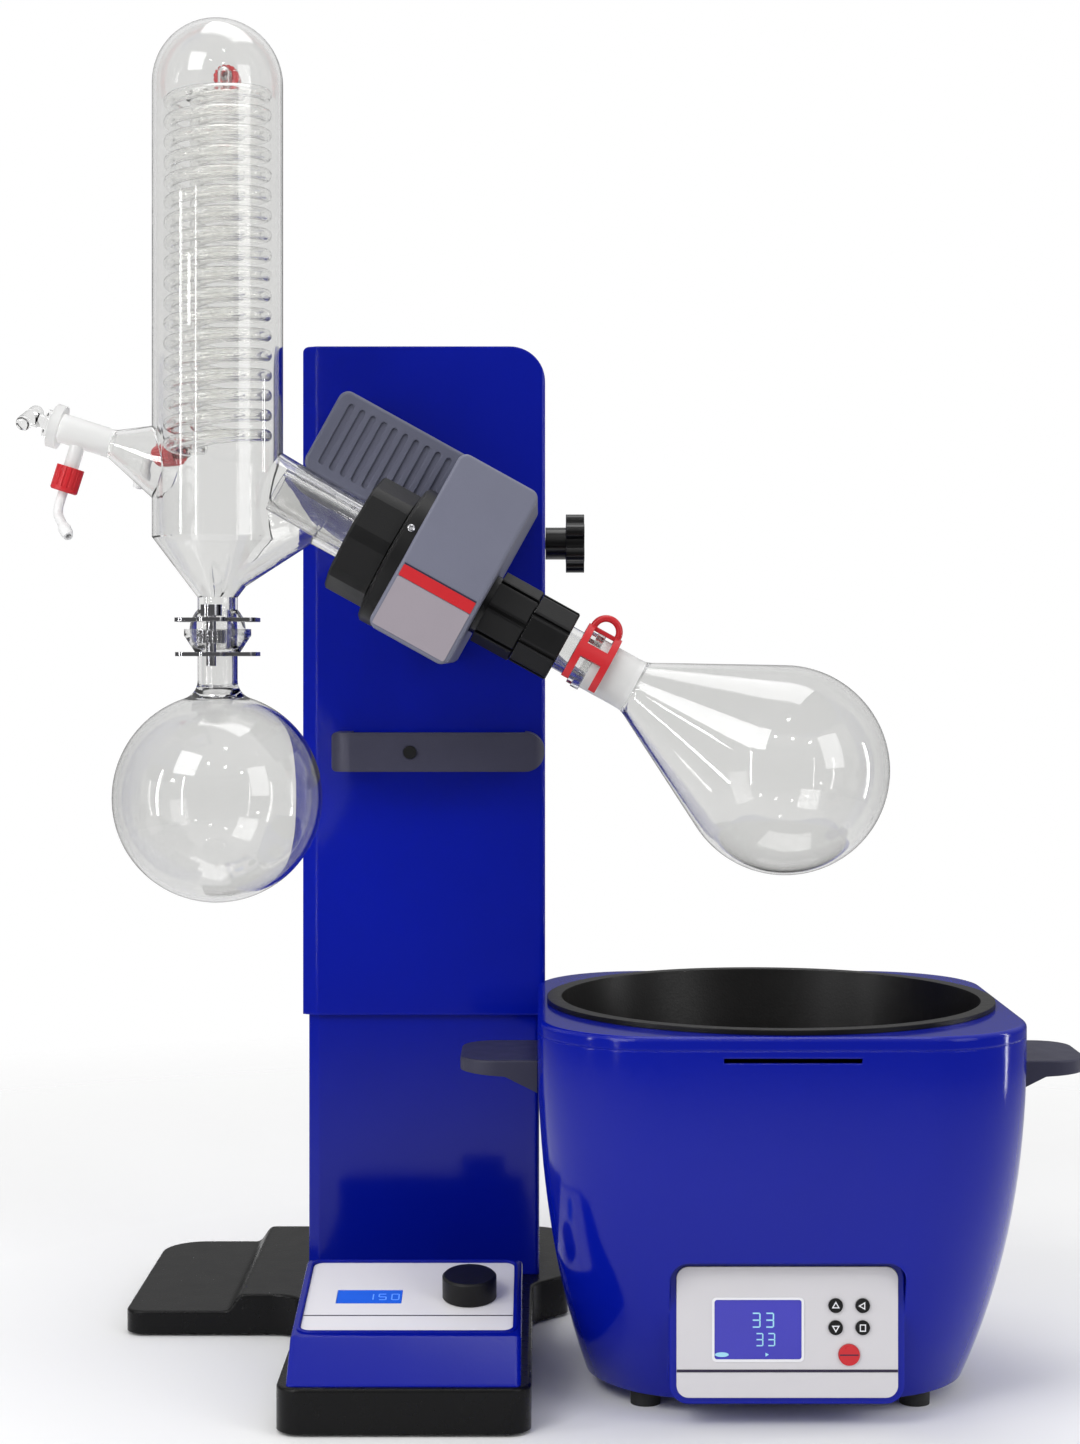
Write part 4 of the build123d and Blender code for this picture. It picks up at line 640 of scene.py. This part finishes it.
def bath_figures(work):
    """Two rows of figures, and under them an oval and an arrow that points to the right."""
    figures(work, "33", x=-21.2, y=60.0, height=8.0, low=FIGURES_LOW, high=FIGURES_HIGH)
    figures(work, "33", x=-19.0, y=49.2, height=7.0, low=FIGURES_LOW, high=FIGURES_HIGH)
    oval = [(OVAL_HALF_WIDTH * x + OVAL_X, OVAL_HALF_HEIGHT * y + LOWEST_ROW_Z)
            for x, y in disc_outline(0.0, 0.0, 1.0)]
    prism(work, oval, FIGURES_LOW, FIGURES_HIGH)
    prism(work, triangle(ARROW_X, LOWEST_ROW_Z, ARROW_RADIUS, 0), FIGURES_LOW, FIGURES_HIGH)


add_piece("bath_digits", bath_figures, FASCIA, digit_glow, "bath")

# Signs on the keys: arrows by their turn in degrees, and a box where there is none
KEY_LEFT, KEY_RIGHT, KEY_UPPER, KEY_LOWER = 27.0, 42.7, 72.6, 59.8
SIGN_LOW, SIGN_HIGH = 1.1, 1.35
ARROW_OUTER, ARROW_INNER = 2.7, 1.5
for key, x, z, turn in (("upper_left", KEY_LEFT, KEY_UPPER, 90), ("upper_right", KEY_RIGHT, KEY_UPPER, 180),
                        ("lower_left", KEY_LEFT, KEY_LOWER, 270), ("lower_right", KEY_RIGHT, KEY_LOWER, None)):
    if turn is None:
        outer = box_outline(x, z, width=3.6, height=4.2)
        inner = box_outline(x, z, width=2.4, height=3.0)
    else:
        outer = triangle(x, z, ARROW_OUTER, turn)
        inner = triangle(x, z, ARROW_INNER, turn)
    add_ring(f"sign_{key}", outer, inner, SIGN_LOW, SIGN_HIGH, FASCIA, pale_print, f"key_{key}")
add_plate("switch_groove", box_outline(34.8, 44.1, width=11.0, height=0.7, corner=0.3),
          low=1.1, high=1.3, matrix=FASCIA, material=line_print, body="bath_switch")

# Back: screws of the sleeve and of the two power inlets, and a bare plate on the column
SLEEVE_SCREW_X = 72.0
SLEEVE_SCREW_ROWS = (222.0, 432.0, 638.0)
sleeve_spots = [(x, z) for x in (-SLEEVE_SCREW_X, SLEEVE_SCREW_X) for z in SLEEVE_SCREW_ROWS]
add_screws("sleeve_screws", sleeve_spots, radius=3.4, proud=1.8,
           matrix=SLEEVE_BACK, material=chrome, body="lift")
INLET_SCREW_X = 15.0
for node_name, body in (("power_inlet", "stand"), ("bath_inlet", "bath")):
    low, high = box_mm(node_name)
    inlet_back = back_face((low.x + high.x) / 2, high.y, (low.z + high.z) / 2)
    inlet_spots = [(-INLET_SCREW_X, 0.0), (INLET_SCREW_X, 0.0)]
    add_screws(f"{node_name}_screws", inlet_spots, radius=1.2, proud=0.7,
               matrix=inlet_back, material=steel, body=body)
add_plate("back_plate", box_outline(0.0, 112.0, width=70.0, height=42.0, corner=2.0),
          low=-0.2, high=0.3, matrix=COLUMN_BACK, material=plate_grey, body="stand",
          bevel=PLATE_BEVEL)


# Lamps, with places and sizes in metres and power in watts

def area_lamp(name, location, target, size, power):
    """Rectangular lamp that points at a target."""
    data = bpy.data.lights.new(name, "AREA")
    data.shape = "RECTANGLE"
    data.size, data.size_y = size
    data.energy = power
    lamp = bpy.data.objects.new(name, data)
    scene.collection.objects.link(lamp)
    lamp.location = location
    lamp.rotation_euler = (Vector(target) - Vector(location)).to_track_quat("-Z", "Y").to_euler()


# The strips and windows are there for the reflections on paint and glass
for name, location, target, size, power in (
        ("key_lamp", (-1.4, -1.9, 2.1), (0, 0, 0.4), (1.2, 1.2), 24.0),
        ("fill_lamp", (1.9, -1.5, 1.2), (0, 0, 0.35), (1.0, 1.4), 13.0),
        ("top_lamp", (0.1, 0.3, 2.6), (0, 0, 0.4), (1.6, 1.2), 20.0),
        ("left_strip", (-1.25, -0.66, 0.5), (-0.15, 0.0, 0.45), (0.05, 0.9), 3.0),
        ("front_strip", (-0.95, -1.3, 0.5), (-0.15, 0.0, 0.45), (0.03, 1.0), 2.4),
        ("right_strip", (1.45, 0.1, 0.35), (0.15, -0.05, 0.2), (0.05, 0.9), 3.0)):
    area_lamp(name, location, target, size, power)
WINDOWS = ((-0.9, -1.5, 1.5), (-0.35, -1.7, 1.75), (0.3, -1.7, 1.6),
           (0.85, -1.5, 1.35), (-1.3, -1.2, 0.9), (0.2, -1.1, 2.1))
WINDOW_TARGET, WINDOW_SIZE, WINDOW_POWER = (0, -0.06, 0.45), (0.11, 0.09), 0.5
for index, location in enumerate(WINDOWS):
    area_lamp(f"window_{index}", location, WINDOW_TARGET, WINDOW_SIZE, WINDOW_POWER)

# Floor that fades into the background with the distance from its middle
FLOOR_HALF = 6.0
FADE_START, FADE_END = 0.45, 1.3
floor_mesh = bpy.data.meshes.new("floor")
floor_corners = [(x, y, 0) for x, y in box_outline(0, 0, 2 * FLOOR_HALF, 2 * FLOOR_HALF)]
floor_mesh.from_pydata(floor_corners, [], [(0, 1, 2, 3)])
floor = bpy.data.objects.new("floor", floor_mesh)
scene.collection.objects.link(floor)
floor_white, tree, shader = start("floor_white")
fill_inputs(shader, {"Base Color": (0.9, 0.9, 0.9, 1), "Roughness": 0.9, "Specular IOR Level": 0.1})
distance = add(tree, "ShaderNodeVectorMath", operation="LENGTH")
fill(distance.inputs[0], spot(tree))
fade = spread(tree, distance.outputs["Value"], 0.0, 1.0, FADE_START, FADE_END)
blend_shaders(tree, fade, shader, add(tree, "ShaderNodeBsdfTransparent"))
floor_mesh.materials.append(floor_white)

# Room: plain white where it is seen, even light for the rest, and darker at eye level in reflections
WHITE = (1, 1, 1, 1)
ROOM_LIGHT = 0.55
ROOM_DARK, ROOM_BRIGHT = 0.14, 0.85
ROOM_DARK_TO, ROOM_BRIGHT_FROM = 0.1, 0.75
world = bpy.data.worlds.new("studio")
scene.world = world
world.use_nodes = True
tree = world.node_tree
lit = tree.nodes["Background"]
fill_inputs(lit, {"Color": WHITE, "Strength": ROOM_LIGHT})
path = add(tree, "ShaderNodeLightPath")
seen_ray = math_node(tree, "MAXIMUM", path.outputs["Is Camera Ray"], path.outputs["Is Transmission Ray"])
direct_ray = math_node(tree, "MAXIMUM", seen_ray, path.outputs["Is Glossy Ray"])
direction = add(tree, "ShaderNodeSeparateXYZ")
fill(direction.inputs[0], add(tree, "ShaderNodeTexCoord").outputs["Generated"])
steepness = math_node(tree, "ABSOLUTE", direction.outputs["Z"], 0.0)
room = spread(tree, steepness, ROOM_DARK, ROOM_BRIGHT, ROOM_DARK_TO, ROOM_BRIGHT_FROM)
seen = add(tree, "ShaderNodeBackground")
fill_inputs(seen, {"Color": WHITE, "Strength": math_node(tree, "MAXIMUM", room, seen_ray)})
blend_shaders(tree, direct_ray, lit, seen, "World Output")

# Camera, level and before the part, and render settings
LENS, SENSOR_WIDTH, LENS_SHIFT = 61.08, 36.0, -0.05
CAMERA_PLACE = (-0.005, -1.603, 0.453)
LIGHT_BOUNCES = 40
camera_data = bpy.data.cameras.new("camera")
camera_data.lens = LENS
camera_data.sensor_width = SENSOR_WIDTH
camera_data.shift_y = LENS_SHIFT
camera = bpy.data.objects.new("camera", camera_data)
scene.collection.objects.link(camera)
camera.location = CAMERA_PLACE
camera.rotation_euler = (math.radians(90), 0, 0)
scene.camera = camera

scene.view_settings.view_transform = "Standard"
scene.cycles.max_bounces = LIGHT_BOUNCES
scene.cycles.transmission_bounces = LIGHT_BOUNCES
